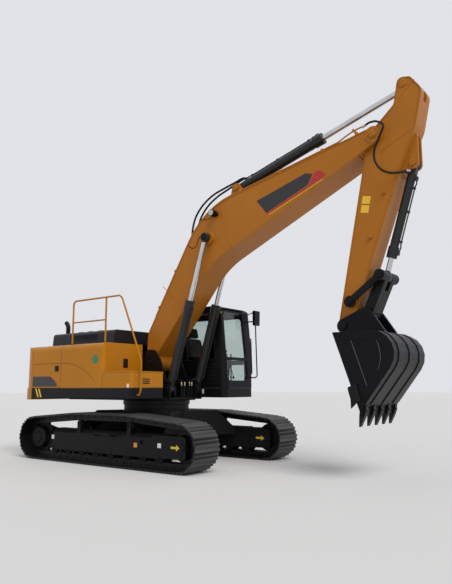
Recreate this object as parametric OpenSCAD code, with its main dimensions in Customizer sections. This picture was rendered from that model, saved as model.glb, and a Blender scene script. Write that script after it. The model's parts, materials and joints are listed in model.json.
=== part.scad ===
// Crawler excavator with a one-piece boom, an arm and a digging bucket.
// Millimetres. +X is forward, +Y is to the driver's left, +Z is up, and the ground is z = 0.
// Points in the plane of the boom are [x, z], measured from the swing axis at ground level.

/* [Undercarriage] */
// Distance from the sprocket's axle to the idler's axle
wheelbase = 3730; // [3500:10:3900]
// Distance between the centre lines of the two tracks
gauge = 2380; // [2320:10:2480]
// Width of a track shoe
shoe_w = 600; // [500:10:700]
// Distance from shoe to shoe that the loop aims for
shoe_pitch = 190; // [175:5:216]
// Thickness of a shoe's plate
shoe_t = 12; // [8:1:16]
// Height of the three bars on a shoe
bar_h = 26; // [15:1:30]
// Radius of the line of track pins round idler and sprocket
pin_line_r = 317; // [300:1:330]
// Height of a track link above its pin
link_top = 40; // [34:1:44]
// Height of a track link below its pin
link_foot = 60; // [50:1:64]
// Width of one of the two link rails
rail_w = 45; // [35:1:55]
// Clear width between the two link rails
rail_gap = 100; // [80:1:120]
// Rise of the top run over its carrier rollers
crest_rise = 95; // [60:5:110]
// Distance between the two carrier rollers of a track
crest_span = 1300; // [1000:50:1500]
// Number of bottom rollers under one track frame
roller_count = 8; // [6:1:9]
// Tread radius of a bottom roller
roller_r = 80; // [70:1:88]
// Tread radius of a carrier roller
carrier_r = 62; // [50:1:70]
// Width of the box beam of a track frame
frame_w = 300; // [280:5:320]
// Height of the box beam of a track frame
frame_h = 255; // [220:5:280]
// Height of the carbody's belly plate above the ground
belly_z = 440; // [420:5:480]
// Outer radius of the slewing ring
ring_r = 640; // [560:10:700]
// Height of the slewing ring
ring_h = 130; // [100:5:140]

/* [Upper body] */
// Radius that the tail of the counterweight sweeps
tail_r = 2750; // [2650:10:2850]
// Width over the side panels
body_w = 2690; // [2640:10:2740]
// Level of the underside of the revolving frame
frame_z = 1090; // [1060:5:1120]
// Level of the underside of the deck
deck_z = 1140; // [1130:5:1160]
// Level of the top of the skirt, where the panels start
sill_z = 1320; // [1300:5:1350]
// Level of the top of the side panels
house_z = 2140; // [2080:10:2200]
// Height of the hood and covers above the side panels
hood_h = 280; // [220:5:300]
// Radius of the shoulder along the top of the side panels
shoulder_r = 110; // [80:5:150]
// Distance from the swing axis back to the joint of counterweight and doors
weight_x = 2130; // [2080:5:2180]
// Distance from the swing axis back to the joint of pump door and tank
tank_x = 1236; // [1180:2:1300]
// Distance from the swing axis back to the front face of the tank
tank_front_x = 50; // [30:5:80]
// Distance from the swing axis to the front of the tool box
box_front_x = 700; // [640:10:740]
// Height of the tool box
box_h = 290; // [240:5:330]
// Distance from the right side panel to the inner side of the tool box
box_w = 770; // [700:10:800]
// Width of the tank
tank_w = 1000; // [940:10:1000]
// Thickness of a door of the house
door_t = 40; // [30:1:50]
// Gap round a door or lid
door_gap = 8; // [8:1:10]
// Height of the top bar of the handrail above the panels
rail_h = 830; // [700:10:950]
// Radius of the handrail's tube
rail_r = 17; // [13:1:21]

/* [Cab] */
// Distance from the swing axis to the front of the cab's floor
cab_front_x = 1300; // [1260:10:1340]
// Length of the cab
cab_len = 1760; // [1720:10:1800]
// Distance from the centre plane to the cab's right wall
cab_right_y = 490; // [485:1:510]
// Distance from the centre plane to the cab's left wall
cab_left_y = 1400; // [1380:5:1420]
// Level of the top of the cab's roof
cab_top_z = 2900; // [2860:10:2960]
// Thickness of the cab's walls
cab_wall = 55; // [45:1:65]
// Thickness of a pane of glass
glass_t = 6; // [5:1:8]
// Length of the cab door
cab_door_len = 900; // [860:10:930]

/* [Boom] */
// Distance from the swing axis forward to the boom's foot pin
foot_pin_x = 131; // [121:2:141]
// Height of the boom's foot pin above the ground
foot_pin_z = 1801; // [1791:2:1811]
// Length of the boom from foot pin to tip pin
boom_len = 5707; // [5500:10:5900]
// Height of the boom's bend above the line from foot pin to tip pin
boom_rise = 1524; // [1480:4:1560]
// Width of the boom
boom_w = 550; // [530:5:560]
// Angle of the line from foot pin to tip pin above level ground
boom_lift = 36.15; // [30:0.05:42]
// Length of the fork at the boom's tip
fork_len = 380; // [370:5:420]

/* [Arm] */
// Length of the arm from boom tip pin to bucket pin
arm_len = 2980; // [2900:10:3060]
// Width of the arm
arm_w = 380; // [360:5:390]
// Turn from the boom's line to the arm's line
arm_fold = 137.95; // [132:0.05:140]
// Distance from the arm link's pin to the bucket pin along the arm
link_back = 378; // [370:1:390]

/* [Bucket] */
// Distance from the bucket pin to the tips of the teeth
bucket_reach = 1520; // [1480:10:1580]
// Width of the bucket over its side plates
bucket_w = 1200; // [1000:10:1400]
// Turn from the arm's line to the bucket's line
bucket_fold = 25.5; // [22:0.5:28]
// Distance from the bucket pin to the link pin
ear_len = 394; // [384:1:400]
// Thickness of the bucket's side plates
side_t = 25; // [20:1:30]
// Thickness of the bucket's wrapper
wrap_t = 28; // [20:1:32]
// Number of teeth
tooth_count = 5; // [4:1:6]
// Distance between the pins of a side link
side_link_len = 609; // [600:1:620]
// Distance between the pins of the H-link
h_link_len = 618; // [610:1:628]

/* [Cylinders] */
// Distance from the centre plane to the middle of a boom cylinder
ram_y = 380; // [378:1:386]
// Radius of the pins of boom, arm and bucket
pin_r = 42; // [36:1:46]
// Gap between a pin or rod and its bore
fit = 0.5; // [0.3:0.1:0.8]
// Gap between parts that turn past each other
side_gap = 6; // [5:1:8]

/* [Hidden] */
$fn = 48;
arc_steps = 6;

paint = [0.85, 0.52, 0.13];
black = [0.12, 0.12, 0.14];
steel = [0.30, 0.30, 0.31];
chrome = [0.78, 0.79, 0.80];
glass = [0.55, 0.66, 0.66, 0.45];

// Plane geometry

function unit(v) = v / norm(v);
function turn(a, p) = [p[0] * cos(a) - p[1] * sin(a), p[0] * sin(a) + p[1] * cos(a)];
function polar(r, a) = [r * cos(a), r * sin(a)];
function angle_of(v) = atan2(v[1], v[0]);
// Signed turn from one direction to another, between -180 and 180
function sweep(from, to) = (to - from + 900) % 360 - 180;
// Crossing of two circles, on the left of the way from the first centre to the second
function crossing(c1, r1, c2, r2) =
    let (d = norm(c2 - c1), along = (d * d + r1 * r1 - r2 * r2) / (2 * d))
    c1 + turn(angle_of(c2 - c1), [along, sqrt(r1 * r1 - along * along)]);
// Arc of radius r that rounds the corner p1 between p0 and p2
function fillet(p0, p1, p2, r) =
    let (a = unit(p0 - p1), b = unit(p2 - p1), half = acos(a * b) / 2,
        centre = p1 + unit(a + b) * r / sin(half), reach = r / tan(half),
        start = angle_of(p1 + a * reach - centre), end = angle_of(p1 + b * reach - centre))
    [for (i = [0:arc_steps]) centre + polar(r, start + sweep(start, end) * i / arc_steps)];
// Outline through corners [x, z, radius]
function rounded(c) =
    let (n = len(c))
    [for (i = [0:n - 1])
        let (p0 = c[(i + n - 1) % n], p1 = c[i], p2 = c[(i + 1) % n])
        each (p1[2] == 0 ? [[p1[0], p1[1]]]
            : fillet([p0[0], p0[1]], [p1[0], p1[1]], [p2[0], p2[1]], p1[2]))];

// Extrudes an [x, z] outline across the machine, w wide with its middle at y
module slab(y, w) {
    translate([0, y + w / 2, 0]) rotate([90, 0, 0]) linear_extrude(w) children();
}
// Extrudes a [y, z] outline along the machine
module beam(x0, x1) {
    translate([x0, 0, 0]) rotate([90, 0, 90]) linear_extrude(x1 - x0) children();
}
// Round bar across the machine with its middle at y
module cross_bar(p, y, w, r) {
    translate([p[0], y - w / 2, p[1]]) rotate([-90, 0, 0]) cylinder(r = r, h = w);
}
// Turned shape with its axis across the machine, from an outline [radius, y]
module turned(p, y, side) {
    translate([p[0], y, p[1]]) rotate([-90 * side, 0, 0]) rotate_extrude() children();
}
module box(x0, x1, y0, y1, z0, z1) {
    translate([x0, y0, z0]) cube([x1 - x0, y1 - y0, z1 - z0]);
}
// Moves children, drawn along +X from the origin, to start at a and point to b
module aim(a, b) {
    translate([a[0], 0, a[1]]) rotate([0, -angle_of(b - a), 0]) children();
}
// Puts children drawn in a local [x, z] frame at pin p, turned by angle a
module hung(p, a) {
    translate([p[0], 0, p[1]]) rotate([0, -a, 0]) children();
}
// Rings of a tube of radius r round a list of points, for routes that nowhere run across the machine
tube_sides = 12;
function tube_way(p, i) = unit((i > 0 ? unit(p[i] - p[i - 1]) : [0, 0, 0])
    + (i < len(p) - 1 ? unit(p[i + 1] - p[i]) : [0, 0, 0]));
function tube_ring(p, i, r) = let (t = tube_way(p, i), n = unit(cross(t, [0, 1, 0])), m = cross(t, n))
    [for (k = [0:tube_sides - 1]) let (a = 360 * k / tube_sides) p[i] + r * (n * cos(a) + m * sin(a))];
module pipe(points, r) {
    last = len(points) - 1;
    m = tube_sides;
    polyhedron([for (i = [0:last]) each tube_ring(points, i, r)], concat(
        [[for (k = [0:m - 1]) k]], [[for (k = [m - 1:-1:0]) last * m + k]],
        [for (i = [0:last - 1], k = [0:m - 1]) let (a = i * m + k, b = i * m + (k + 1) % m)
            each [[a, a + m, b + m], [a, b + m, b]]]));
}
module at_swing() { translate([swing_x, 0, 0]) children(); }

// Pins of the working equipment

foot_boss_r = 150;
tip_boss_r = 130;
foot_pin = [foot_pin_x, foot_pin_z];
boom_a = boom_lift;
tip_pin = foot_pin + turn(boom_a, [boom_len, 0]);
arm_a = boom_lift - arm_fold;
bucket_pin = tip_pin + turn(arm_a, [arm_len, 0]);
bucket_a = arm_a + bucket_fold;
function on_boom(p) = foot_pin + turn(boom_a, p);
function on_arm(p) = tip_pin + turn(arm_a, p);
function on_bucket(p) = bucket_pin + turn(bucket_a, p);

// Lower pins of the boom cylinders, on the revolving frame
ram_foot = [680, 1300];
// Pin of the boom cylinders on the boom, in the boom's frame
ram_head = [2428, 976];
// Top line of the boom, in its frame: foot, bend and tip
boom_top = [[242, 530], [boom_len * 0.4624, boom_rise], [boom_len, tip_boss_r]];
// Height of the straight upper part of that line at a distance from the foot pin
function boom_top_at(x) = boom_top[1][1]
    + (boom_top[2][1] - boom_top[1][1]) * (x - boom_top[1][0]) / (boom_top[2][0] - boom_top[1][0]);
// Base pin of the arm cylinder on the boom, in the boom's frame
stick_foot_back = 2352;
stick_foot_x = boom_len - stick_foot_back;
stick_foot = [stick_foot_x, boom_top_at(stick_foot_x) + 225.36];
// Pin of the arm cylinder on the arm, in the arm's frame
stick_head = [-812, 320];
// Base pin of the bucket cylinder on the arm, in the arm's frame
curl_foot = [409, 633];
// Pin of the side links on the arm, in the arm's frame
link_foot_pin = [arm_len - link_back, 58];
// Pin of the H-link on the bucket, in the bucket's frame
ear_pin = polar(ear_len, 100.3);
link_a = on_arm(link_foot_pin);
link_c = on_bucket(ear_pin);
link_b = crossing(link_a, side_link_len, link_c, h_link_len);

// Outlines of boom and arm, each in its own frame from pin to pin
boom_bend_r = 1500;
boom_outline = rounded([[0, 0, 0], [-95, 115, 0], [boom_top[0][0], boom_top[0][1], 200],
    [boom_top[1][0], boom_top[1][1], boom_bend_r], [boom_len, tip_boss_r, 0], [boom_len, -tip_boss_r, 0],
    [boom_len - 490, -60, 0], [boom_len * 0.382, boom_rise - 964, boom_bend_r]]);
arm_tip_r = 105;
arm_outline = rounded([[-905, 225, 85], [-900, 425, 60], [-700, 640, 170], [-150, 635, 400],
    [460, 500, 150], [arm_len + arm_tip_r, 100, 95], [arm_len + arm_tip_r, -arm_tip_r, 95],
    [-20, -112, 80], [-480, 232, 120]]);
front_reach = max([for (p = arm_outline) on_arm(p)[0]]);
// The origin lies midway between tail and front reach, so the swing axis is behind it
swing_x = (tail_r - front_reach) / 2;
side_y = body_w / 2;

// Track

axle_z = bar_h + shoe_t + link_top + pin_line_r;
half_base = wheelbase / 2;
crest = [crest_span / 2, pin_line_r + crest_rise];
crest_way = crest - [half_base, 0];
slope_a = angle_of(crest_way) - acos(pin_line_r / norm(crest_way));
arc_len = (slope_a + 90) / 180 * PI * pin_line_r;
slope_len = sqrt(crest_way * crest_way - pin_line_r * pin_line_r);
half_loop = half_base + arc_len + slope_len + crest[0];
shoe_count = round(2 * half_loop / shoe_pitch);
pitch = 2 * half_loop / shoe_count;
// Point of the pin line at distance s from the middle of the bottom run, from the axle height
function half_way(s) =
    s < half_base ? [s, -pin_line_r]
    : s < half_base + arc_len
        ? [half_base, 0] + polar(pin_line_r, (s - half_base) / arc_len * (slope_a + 90) - 90)
    : s < half_base + arc_len + slope_len
        ? [half_base, 0] + turn(slope_a, [pin_line_r, s - half_base - arc_len])
    : [half_loop - s, crest[1]];
function loop_way(s) = s <= half_loop ? half_way(s) : let (p = half_way(2 * half_loop - s)) [-p[0], p[1]];
track_pins = [for (k = [0:shoe_count - 1]) loop_way((k + 0.5) * pitch) + [0, axle_z]];
function track_pin(k) = track_pins[(k + shoe_count) % shoe_count];
function outward(k) = turn(-90, unit(track_pin(k + 1) - track_pin(k)));
// Point at height h above pin k, square to the chain
function over_pin(k, h) = track_pin(k) + unit(outward(k) + outward(k - 1)) * h;
// Tops and valleys of a shoe's three bars: share of the pitch, share of the bar's height
bar_profile = [[0.09, 1], [0.17, 1], [0.32, 0], [0.46, 1], [0.54, 1], [0.68, 0], [0.83, 1], [0.91, 1]];
function shoe_points(k) = concat([over_pin(k, link_top + shoe_t)], [for (b = bar_profile)
    track_pin(k) + (track_pin(k + 1) - track_pin(k)) * b[0]
        + outward(k) * (link_top + shoe_t + bar_h * b[1])]);
shoe_loop = [for (k = [0:shoe_count - 1]) each shoe_points(k)];
function chain_loop(h) = [for (k = [0:shoe_count - 1]) over_pin(k, h)];
// Radius that the rails leave for a wheel inside the bend
bend_r = pin_line_r * cos(pitch / pin_line_r / PI * 90) - link_foot - fit;
rail_y = (rail_gap + rail_w) / 2;
roller_z = bar_h + shoe_t + link_top + link_foot + roller_r + fit;
carrier_z = axle_z + crest[1] - link_foot - carrier_r - 1.3;
box_z = roller_z + roller_r + 28;
box_rear_x = -half_base + 470;
box_end_x = half_base - 500;

module track(side) {
    color(steel) translate([swing_x, side * gauge / 2, 0]) {
        slab(0, shoe_w) difference() {
            polygon(shoe_loop);
            polygon(chain_loop(link_top));
        }
        for (e = [-1, 1]) slab(e * rail_y, rail_w) difference() {
            polygon(chain_loop(link_top + shoe_t / 2));
            polygon(chain_loop(-link_foot));
        }
    }
}

// Half of a wheel with flanges: tread radius r, flange radius f outside the rails
module roller_shape(r, f, core_r) {
    half_w = rail_y + rail_w / 2;
    polygon([[0, 0], [core_r, 0], [core_r, rail_gap / 2 - 12], [r, rail_gap / 2 - 12],
        [r, half_w + 4], [f, half_w + 4], [f, half_w + 22], [core_r * 0.7, half_w + 30],
        [core_r * 0.7, frame_w / 2 - 10], [0, frame_w / 2 - 10]]);
}

module track_rollers() {
    span = box_end_x - box_rear_x - 60;
    color(black) for (side = [-1, 1], e = [-1, 1]) translate([swing_x, side * gauge / 2, 0]) {
        for (k = [0:roller_count - 1])
            turned([box_rear_x + 30 + span * k / (roller_count - 1), roller_z], 0, e)
                roller_shape(roller_r, roller_r + 16, roller_r * 0.72);
        for (x = [-1, 1])
            turned([x * crest[0], carrier_z], 0, e)
                roller_shape(carrier_r, carrier_r + 12, carrier_r * 0.72);
    }
}

module idlers() {
    color(black) for (side = [-1, 1], e = [-1, 1])
        translate([swing_x, side * gauge / 2, 0]) turned([half_base, axle_z], 0, e)
            polygon([[0, 0], [bend_r + 18, 0], [bend_r + 18, rail_gap / 2 - 10],
                [bend_r, rail_gap / 2 - 4], [bend_r, rail_y + rail_w / 2],
                    [bend_r - 45, rail_y + rail_w / 2],
                [bend_r * 0.6, rail_gap / 2 - 10], [80, rail_gap / 2], [80, frame_w / 2 - 26],
                [50, frame_w / 2 - 25.7], [0, frame_w / 2 - 25.7]]);
}

drive_r = 205;
sprocket_t = 52;
sprocket_teeth = 2 * round(PI * pin_line_r / pitch) + 1;
module sprockets() {
    root_r = pin_line_r - 34;
    tip_r = pin_line_r * cos(pitch / pin_line_r / PI * 90) + link_top - 10;
    step = 360 / sprocket_teeth;
    color(steel) for (side = [-1, 1]) translate([swing_x, side * gauge / 2, 0])
        difference() {
            slab(0, sprocket_t) translate([-half_base, axle_z]) polygon([for (k = [0:sprocket_teeth - 1])
                each [polar(root_r, (k - 0.32) * step), polar(tip_r, (k - 0.12) * step),
                    polar(tip_r, (k + 0.12) * step), polar(root_r, (k + 0.32) * step)]]);
            cross_bar([-half_base, axle_z], 0, sprocket_t + 2, drive_r * 0.8 + fit);
        }
}

module final_drives() {
    color(black) for (side = [-1, 1])
        translate([swing_x, side * gauge / 2, 0]) turned([-half_base, axle_z], 0, side)
            polygon([[0, -frame_w / 2 - 60], [150, -frame_w / 2 - 60], [150, -sprocket_t / 2 - 14],
                [drive_r * 0.8, -sprocket_t / 2 - 14], [drive_r * 0.8, sprocket_t / 2 + fit],
                [drive_r, sprocket_t / 2 + fit], [drive_r, 120], [drive_r - 25, 145], [120, 150],
                [112, 172], [0, 172]]);
}

module track_frame(side) {
    top_z = box_z + frame_h;
    half = frame_w / 2;
    color(black) translate([swing_x, side * gauge / 2, 0]) difference() {
        union() {
            // Box beam with sloping shoulders that shed the dirt
            beam(box_rear_x, box_end_x) polygon([[-half, box_z], [half, box_z], [half, top_z - 70],
                [half - 60, top_z], [-half + 60, top_z], [-half, top_z - 70]]);
            // Roller brackets below the beam
            for (e = [-1, 1]) slab(e * (half - 5), 10) polygon(rounded([
                [box_rear_x - 20, roller_z - 24, 20], [box_end_x + 20, roller_z - 24, 20],
                [box_end_x + 20, box_z + 20, 0], [box_rear_x - 20, box_z + 20, 0]]));
            // Guard plates on both sides of the idler
            for (e = [-1, 1]) slab(e * (half - 12.5), 25) polygon(rounded([
                [box_end_x - 180, box_z - 120, 30], [half_base + 60, box_z - 120, 60],
                [half_base + 60, top_z - 20, 60], [box_end_x - 180, top_z - 20, 30]]));
            // Motor mount inside the sprocket
            slab(-side * (half - 20), 40) polygon(rounded([
                [box_rear_x + 40, box_z, 0], [box_rear_x + 40, top_z - 70, 0],
                [-half_base, axle_z + 215, 0], [-half_base, axle_z - 215, 0]]));
            cross_bar([-half_base, axle_z], -side * (half - 20), 40, 215);
            // Carrier roller posts
            for (x = [-1, 1], e = [-1, 1])
                box(x * crest[0] - 45, x * crest[0] + 45, e * (half - 11.5) - 11.5, e * (half - 11.5)
                    + 11.5,
                    top_z - 75, carrier_z + 45);
        }
        cross_bar([-half_base, axle_z], 0, frame_w + 100, 150 + fit);
        for (x = [-1, 1]) cross_bar([x * crest[0], carrier_z], 0, frame_w + 2,
            carrier_r * 0.72 * 0.7 + fit);
        cross_bar([box_end_x - 30, roller_z], 0, frame_w - 20, roller_r * 0.72 * 0.7 + fit);
        // Access hole of the track adjuster
        cross_bar([half_base - 900, box_z + 110], side * half, 60, 38);
    }
}

leg_x = 900;
module carbody() {
    inner_y = gauge / 2 - frame_w / 2 - fit;
    color(black) at_swing() union() {
        // Crossed legs, sloping down from the slewing ring to the track frames
        intersection() {
            translate([0, 0, belly_z]) linear_extrude(frame_z) polygon([
                [-leg_x - 260, -inner_y], [-leg_x + 240, -inner_y], [-320, -ring_r], [320, -ring_r],
                [leg_x - 240, -inner_y], [leg_x + 260, -inner_y], [ring_r + 60, 0],
                [leg_x + 260, inner_y], [leg_x - 240, inner_y], [320, ring_r], [-320, ring_r],
                [-leg_x + 240, inner_y], [-leg_x - 260, inner_y], [-ring_r - 60, 0]]);
            beam(-wheelbase, wheelbase) polygon([
                [-inner_y - 1, belly_z], [inner_y + 1, belly_z], [inner_y + 1, box_z + frame_h - 60],
                [ring_r, frame_z - ring_h - 60], [-ring_r, frame_z - ring_h - 60],
                [-inner_y - 1, box_z + frame_h - 60]]);
        }
        translate([0, 0, belly_z]) cylinder(r = ring_r - 20, h = frame_z - ring_h - belly_z);
    }
}

module slew_ring() {
    color(steel) at_swing() translate([0, 0, frame_z - ring_h]) rotate_extrude()
        polygon([[ring_r - 130, 0], [ring_r - 20, 0], [ring_r - 20, ring_h * 0.4],
            [ring_r, ring_h * 0.45],
            [ring_r, ring_h], [ring_r - 110, ring_h], [ring_r - 110, ring_h * 0.8],
            [ring_r - 130, ring_h * 0.8]]);
}

// Revolving frame

plate_t = 40;
plate_y = boom_w / 2 + side_gap + plate_t / 2;
eye_w = 90;
eye_r = 80;
module upper_frame() {
    rear_x = -weight_x + 2;
    color(black) at_swing() difference() {
        union() {
            // Centre plate over the slewing ring
            box(rear_x, ram_foot[0] - 60, -plate_y - 120, plate_y + 120, frame_z + fit, frame_z + 50);
            // Main plates that carry boom and boom cylinders
            for (e = [-1, 1]) slab(e * plate_y, plate_t) polygon(rounded([
                [rear_x, frame_z + 40, 0], [ram_foot[0] - 90, frame_z + 40, 0],
                [ram_foot[0] + eye_r, frame_z + 60, 60], [ram_foot[0] + eye_r, ram_foot[1] + eye_r,
                    eye_r - 5],
                [ram_foot[0] - 110, ram_foot[1] + eye_r, 120], [foot_pin[0] + 230, foot_pin[1] + 60, 120],
                [foot_pin[0] + 90, foot_pin[1] + 240, 120], [foot_pin[0] - 150, foot_pin[1] + 240, 120],
                [foot_pin[0] - 330, foot_pin[1] - 200, 200], [-tank_x, sill_z + 60, 200],
                    [rear_x, sill_z + 60, 0]]));
            // Outer lugs of the boom cylinders
            for (e = [-1, 1]) slab(e * (ram_y + eye_w / 2 + side_gap + 14), 28) polygon(rounded([
                [ram_foot[0] - 260, frame_z + 20, 0], [ram_foot[0] + eye_r, frame_z + 20, 40],
                [ram_foot[0] + eye_r, ram_foot[1] + eye_r, eye_r - 5],
                [ram_foot[0] - eye_r, ram_foot[1] + eye_r, eye_r - 5],
                    [ram_foot[0] - 260, deck_z + 120, 60]]));
            // Floor plate that carries the outer lugs
            box(-tank_front_x - 15, ram_foot[0] + 20, -cab_right_y + 8, cab_right_y - 8, frame_z + 20,
                deck_z + 10);
            // Deck and skirt on the right
            right_deck();
            left_deck();
            // Pins
            cross_bar(foot_pin, 0, 2 * plate_y + plate_t + 40, pin_r);
            for (e = [-1, 1]) cross_bar(ram_foot, e * ram_y, eye_w + 100, pin_r);
            for (d = door_places) translate([0, 0, -1]) door_pin(d[0], d[1], 0);
        }
        // Opening under the valve and swing motor, seen from below
        translate([0, 0, frame_z - 1]) cylinder(r = 250, h = 60);
    }
}
skirt_t = 30;
module right_deck() {
    y0 = -side_y;
    difference() {
        translate([0, 0, deck_z]) linear_extrude(sill_z - deck_z) polygon(rounded([
            [-weight_x + 2, y0, 0], [box_front_x, y0, 60], [box_front_x, y0 + box_w, 0],
            [-tank_front_x, y0 + box_w, 0], [-tank_front_x, -plate_y, 0], [-weight_x + 2, -plate_y, 0]]));
        translate([0, 0, deck_z + 35]) linear_extrude(sill_z) polygon([
            [-weight_x - 2, y0 + skirt_t], [box_front_x - skirt_t, y0 + skirt_t],
            [box_front_x - skirt_t, y0 + box_w - skirt_t], [-tank_front_x, y0 + box_w - skirt_t],
            [-tank_front_x, -plate_y - plate_t / 2], [-weight_x - 2, -plate_y - plate_t / 2]]);
    }
}
module left_deck() {
    cab_rear_x = cab_front_x - cab_len;
    difference() {
        translate([0, 0, deck_z]) linear_extrude(sill_z - deck_z) polygon([
            [-weight_x + 2, plate_y], [-weight_x + 2, side_y], [cab_rear_x, side_y],
                [cab_rear_x, plate_y]]);
        translate([0, 0, deck_z + 35]) linear_extrude(sill_z) polygon([
            [-weight_x - 2, plate_y + plate_t / 2], [-weight_x - 2, side_y - skirt_t],
            [cab_rear_x - skirt_t, side_y - skirt_t], [cab_rear_x - skirt_t, plate_y + plate_t / 2]]);
    }
    // Cab platform
    translate([0, 0, deck_z]) linear_extrude(cab_z - deck_z) polygon(rounded([
        [cab_rear_x - 1, cab_right_y, 0], [cab_front_x - 10, cab_right_y, 110],
            [cab_front_x - 10, cab_left_y, 60],
        [cab_rear_x - 1, cab_left_y, 0]]));
    box(cab_rear_x - skirt_t, ram_foot[0] - 100, plate_y, cab_right_y + 10, deck_z, deck_z + 35);
}

// House

// Outline [y, z] of a door: outer face at y, with the shoulder, t thick
function door_shape(y, t) =
    let (s = sign(y), top_y = y - s * shoulder_r)
    rounded([[y, sill_z, 0], [y, house_z, shoulder_r], [top_y, house_z, 0], [top_y, house_z - t, 0],
        [y - s * t, house_z - t, shoulder_r - t], [y - s * t, sill_z, 0]]);
// Outline [y, z] of a solid body between the side at y and the inner side at y_in
function body_shape(y, y_in, r_in) = rounded([[y, sill_z, 0], [y, house_z, shoulder_r],
    [y_in, house_z, r_in], [y_in, sill_z, 0]]);

// How far the lower band of the counterweight stands out behind the rest
weight_band = 45;
weight_corner_r = 410;
module weight_block(inset, z0, z1) {
    r = tail_r - inset;
    corner_x = -tail_r * 0.88 + inset;
    intersection() {
        translate([0, 0, z0]) cylinder(r = r, h = z1 - z0, $fn = 160);
        translate([0, 0, z0]) linear_extrude(z1 - z0) polygon(rounded([[-weight_x, -side_y, 0],
            [-weight_x, side_y, 0], [corner_x, side_y, weight_corner_r], [-tail_r, side_y * 0.4, 0],
            [-tail_r, -side_y * 0.4, 0], [corner_x, -side_y, weight_corner_r]]));
    }
}
module counterweight() {
    color(paint) at_swing() {
        weight_block(0, frame_z + 10, sill_z + 10);
        intersection() {
            weight_block(weight_band, sill_z, house_z);
            slab(0, body_w) polygon(rounded([[weight_band - tail_r, sill_z, 0],
                [weight_band - tail_r, house_z, 160],
                [-weight_x, house_z, 0], [-weight_x, sill_z, 0]]));
            beam(-tail_r, -weight_x) polygon(body_shape(side_y, -side_y, shoulder_r));
        }
    }
}
eye_bore_r = 32;
module lifting_eyes() {
    color(paint) at_swing() for (e = [-1, 1]) slab(e * 520, 60) translate([-weight_x - 270, house_z])
        difference() {
            intersection() {
                union() {
                    translate([0, 55]) circle(r = 70);
                    translate([-70, 0]) square([140, 55]);
                }
                translate([-100, 0]) square([200, 200]);
            }
            translate([0, 55]) circle(r = eye_bore_r);
        }
}

module engine() {
    color(steel) at_swing() box(-weight_x + 180, -tank_x - 60, -780, 560, sill_z + 60 + fit,
        house_z - 180);
}

module fuel_tank() {
    color(paint) at_swing() intersection() {
        beam(-tank_x + door_gap / 2, -tank_front_x) polygon(body_shape(-side_y, tank_w - side_y, 20));
        translate([0, 0, sill_z + fit]) linear_extrude(house_z) polygon(rounded([
            [-tank_x, -side_y, 0], [-tank_front_x, -side_y, 60], [-tank_front_x, -side_y + tank_w, 30],
            [-tank_x, -side_y + tank_w, 0]]));
    }
}

lid_t = 30;
module tool_box() {
    x0 = -tank_front_x + fit;
    color(paint) at_swing() difference() {
        translate([0, 0, sill_z + fit]) linear_extrude(box_h - lid_t - fit) polygon(rounded([
            [x0, -side_y, 0], [box_front_x, -side_y, 60], [box_front_x, -side_y + box_w, 0],
            [x0, -side_y + box_w, 0]]));
        box(x0 + 25, box_front_x - 25, -side_y + 25, -side_y + box_w - 25, sill_z + 25, sill_z + box_h);
    }
}
module tool_box_lid() {
    color(paint) at_swing() translate([0, 0, sill_z + box_h - lid_t + fit]) linear_extrude(lid_t - fit)
        polygon(rounded([[-tank_front_x + door_gap, -side_y, 0], [box_front_x, -side_y, 60],
            [box_front_x, -side_y + box_w, 0], [-tank_front_x + door_gap, -side_y + box_w, 0]]));
}

// A door of the house between two stations behind the swing axis, on side -1 right or 1 left
module house_door(side, rear_x, front_x) {
    color(paint) at_swing() difference() {
        beam(-rear_x + door_gap, -front_x - door_gap) polygon(door_shape(side * side_y, door_t));
        box(-rear_x, -front_x, -side_y - 1, side_y + 1, sill_z - 1, sill_z + door_gap / 2);
        door_pin(side, rear_x, fit);
    }
}
// Pin that a door turns on, standing on the skirt
module door_pin(side, rear_x, grow) {
    translate([-rear_x + door_gap + 30, side * (side_y - 13), sill_z])
        cylinder(r = 8 + grow, h = 50 + 4 * grow);
}
cab_rear = cab_front_x - cab_len;
// Doors of the house: side, rear end, front end
door_places = [[-1, weight_x, tank_x], [1, weight_x, tank_x], [1, tank_x, -cab_rear + 30]];
module pump_door() { house_door(door_places[0][0], door_places[0][1], door_places[0][2]); }
module radiator_door() { house_door(door_places[1][0], door_places[1][1], door_places[1][2]); }
module filter_door() { house_door(door_places[2][0], door_places[2][1], door_places[2][2]); }

module house_walls() {
    in_y = side_y - door_t - side_gap;
    top_y = side_y - shoulder_r - 2 * side_gap;
    hood_y = side_y - 445;
    color(black) at_swing() {
        // Fire wall between engine bay and tank, with notches for the main plates
        difference() {
            box(-tank_x - 20, -tank_x, -in_y, in_y, deck_z + 35 + fit, house_z - 30);
            for (e = [-1, 1]) box(-tank_x - 21, -tank_x + 1, e * plate_y - plate_t / 2 - fit,
                e * plate_y + plate_t / 2 + fit, deck_z, sill_z + 60 + 40);
            for (e = [-1, 1]) translate([-tank_x - 21, 0, 0]) box(0, 22, e * side_y - 150,
                e * side_y + 150,
                house_z - shoulder_r - 30, house_z);
        }
    }
    color(paint) at_swing() {
        // Walkways beside the hood
        box(-weight_x + fit, -tank_x - fit, -top_y, -hood_y + 40, house_z - 30, house_z);
        box(-weight_x + fit, cab_rear - 6, hood_y - 40, top_y, house_z - 30, house_z);
        // Wall behind the cab
        box(cab_rear - 20, cab_rear - 6, plate_y + 60, in_y, sill_z + fit, house_z - 30);
    }
}

hood_rear_x = weight_x - 430;
hood_front_x = 510;
cover_front_x = 280;
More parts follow.
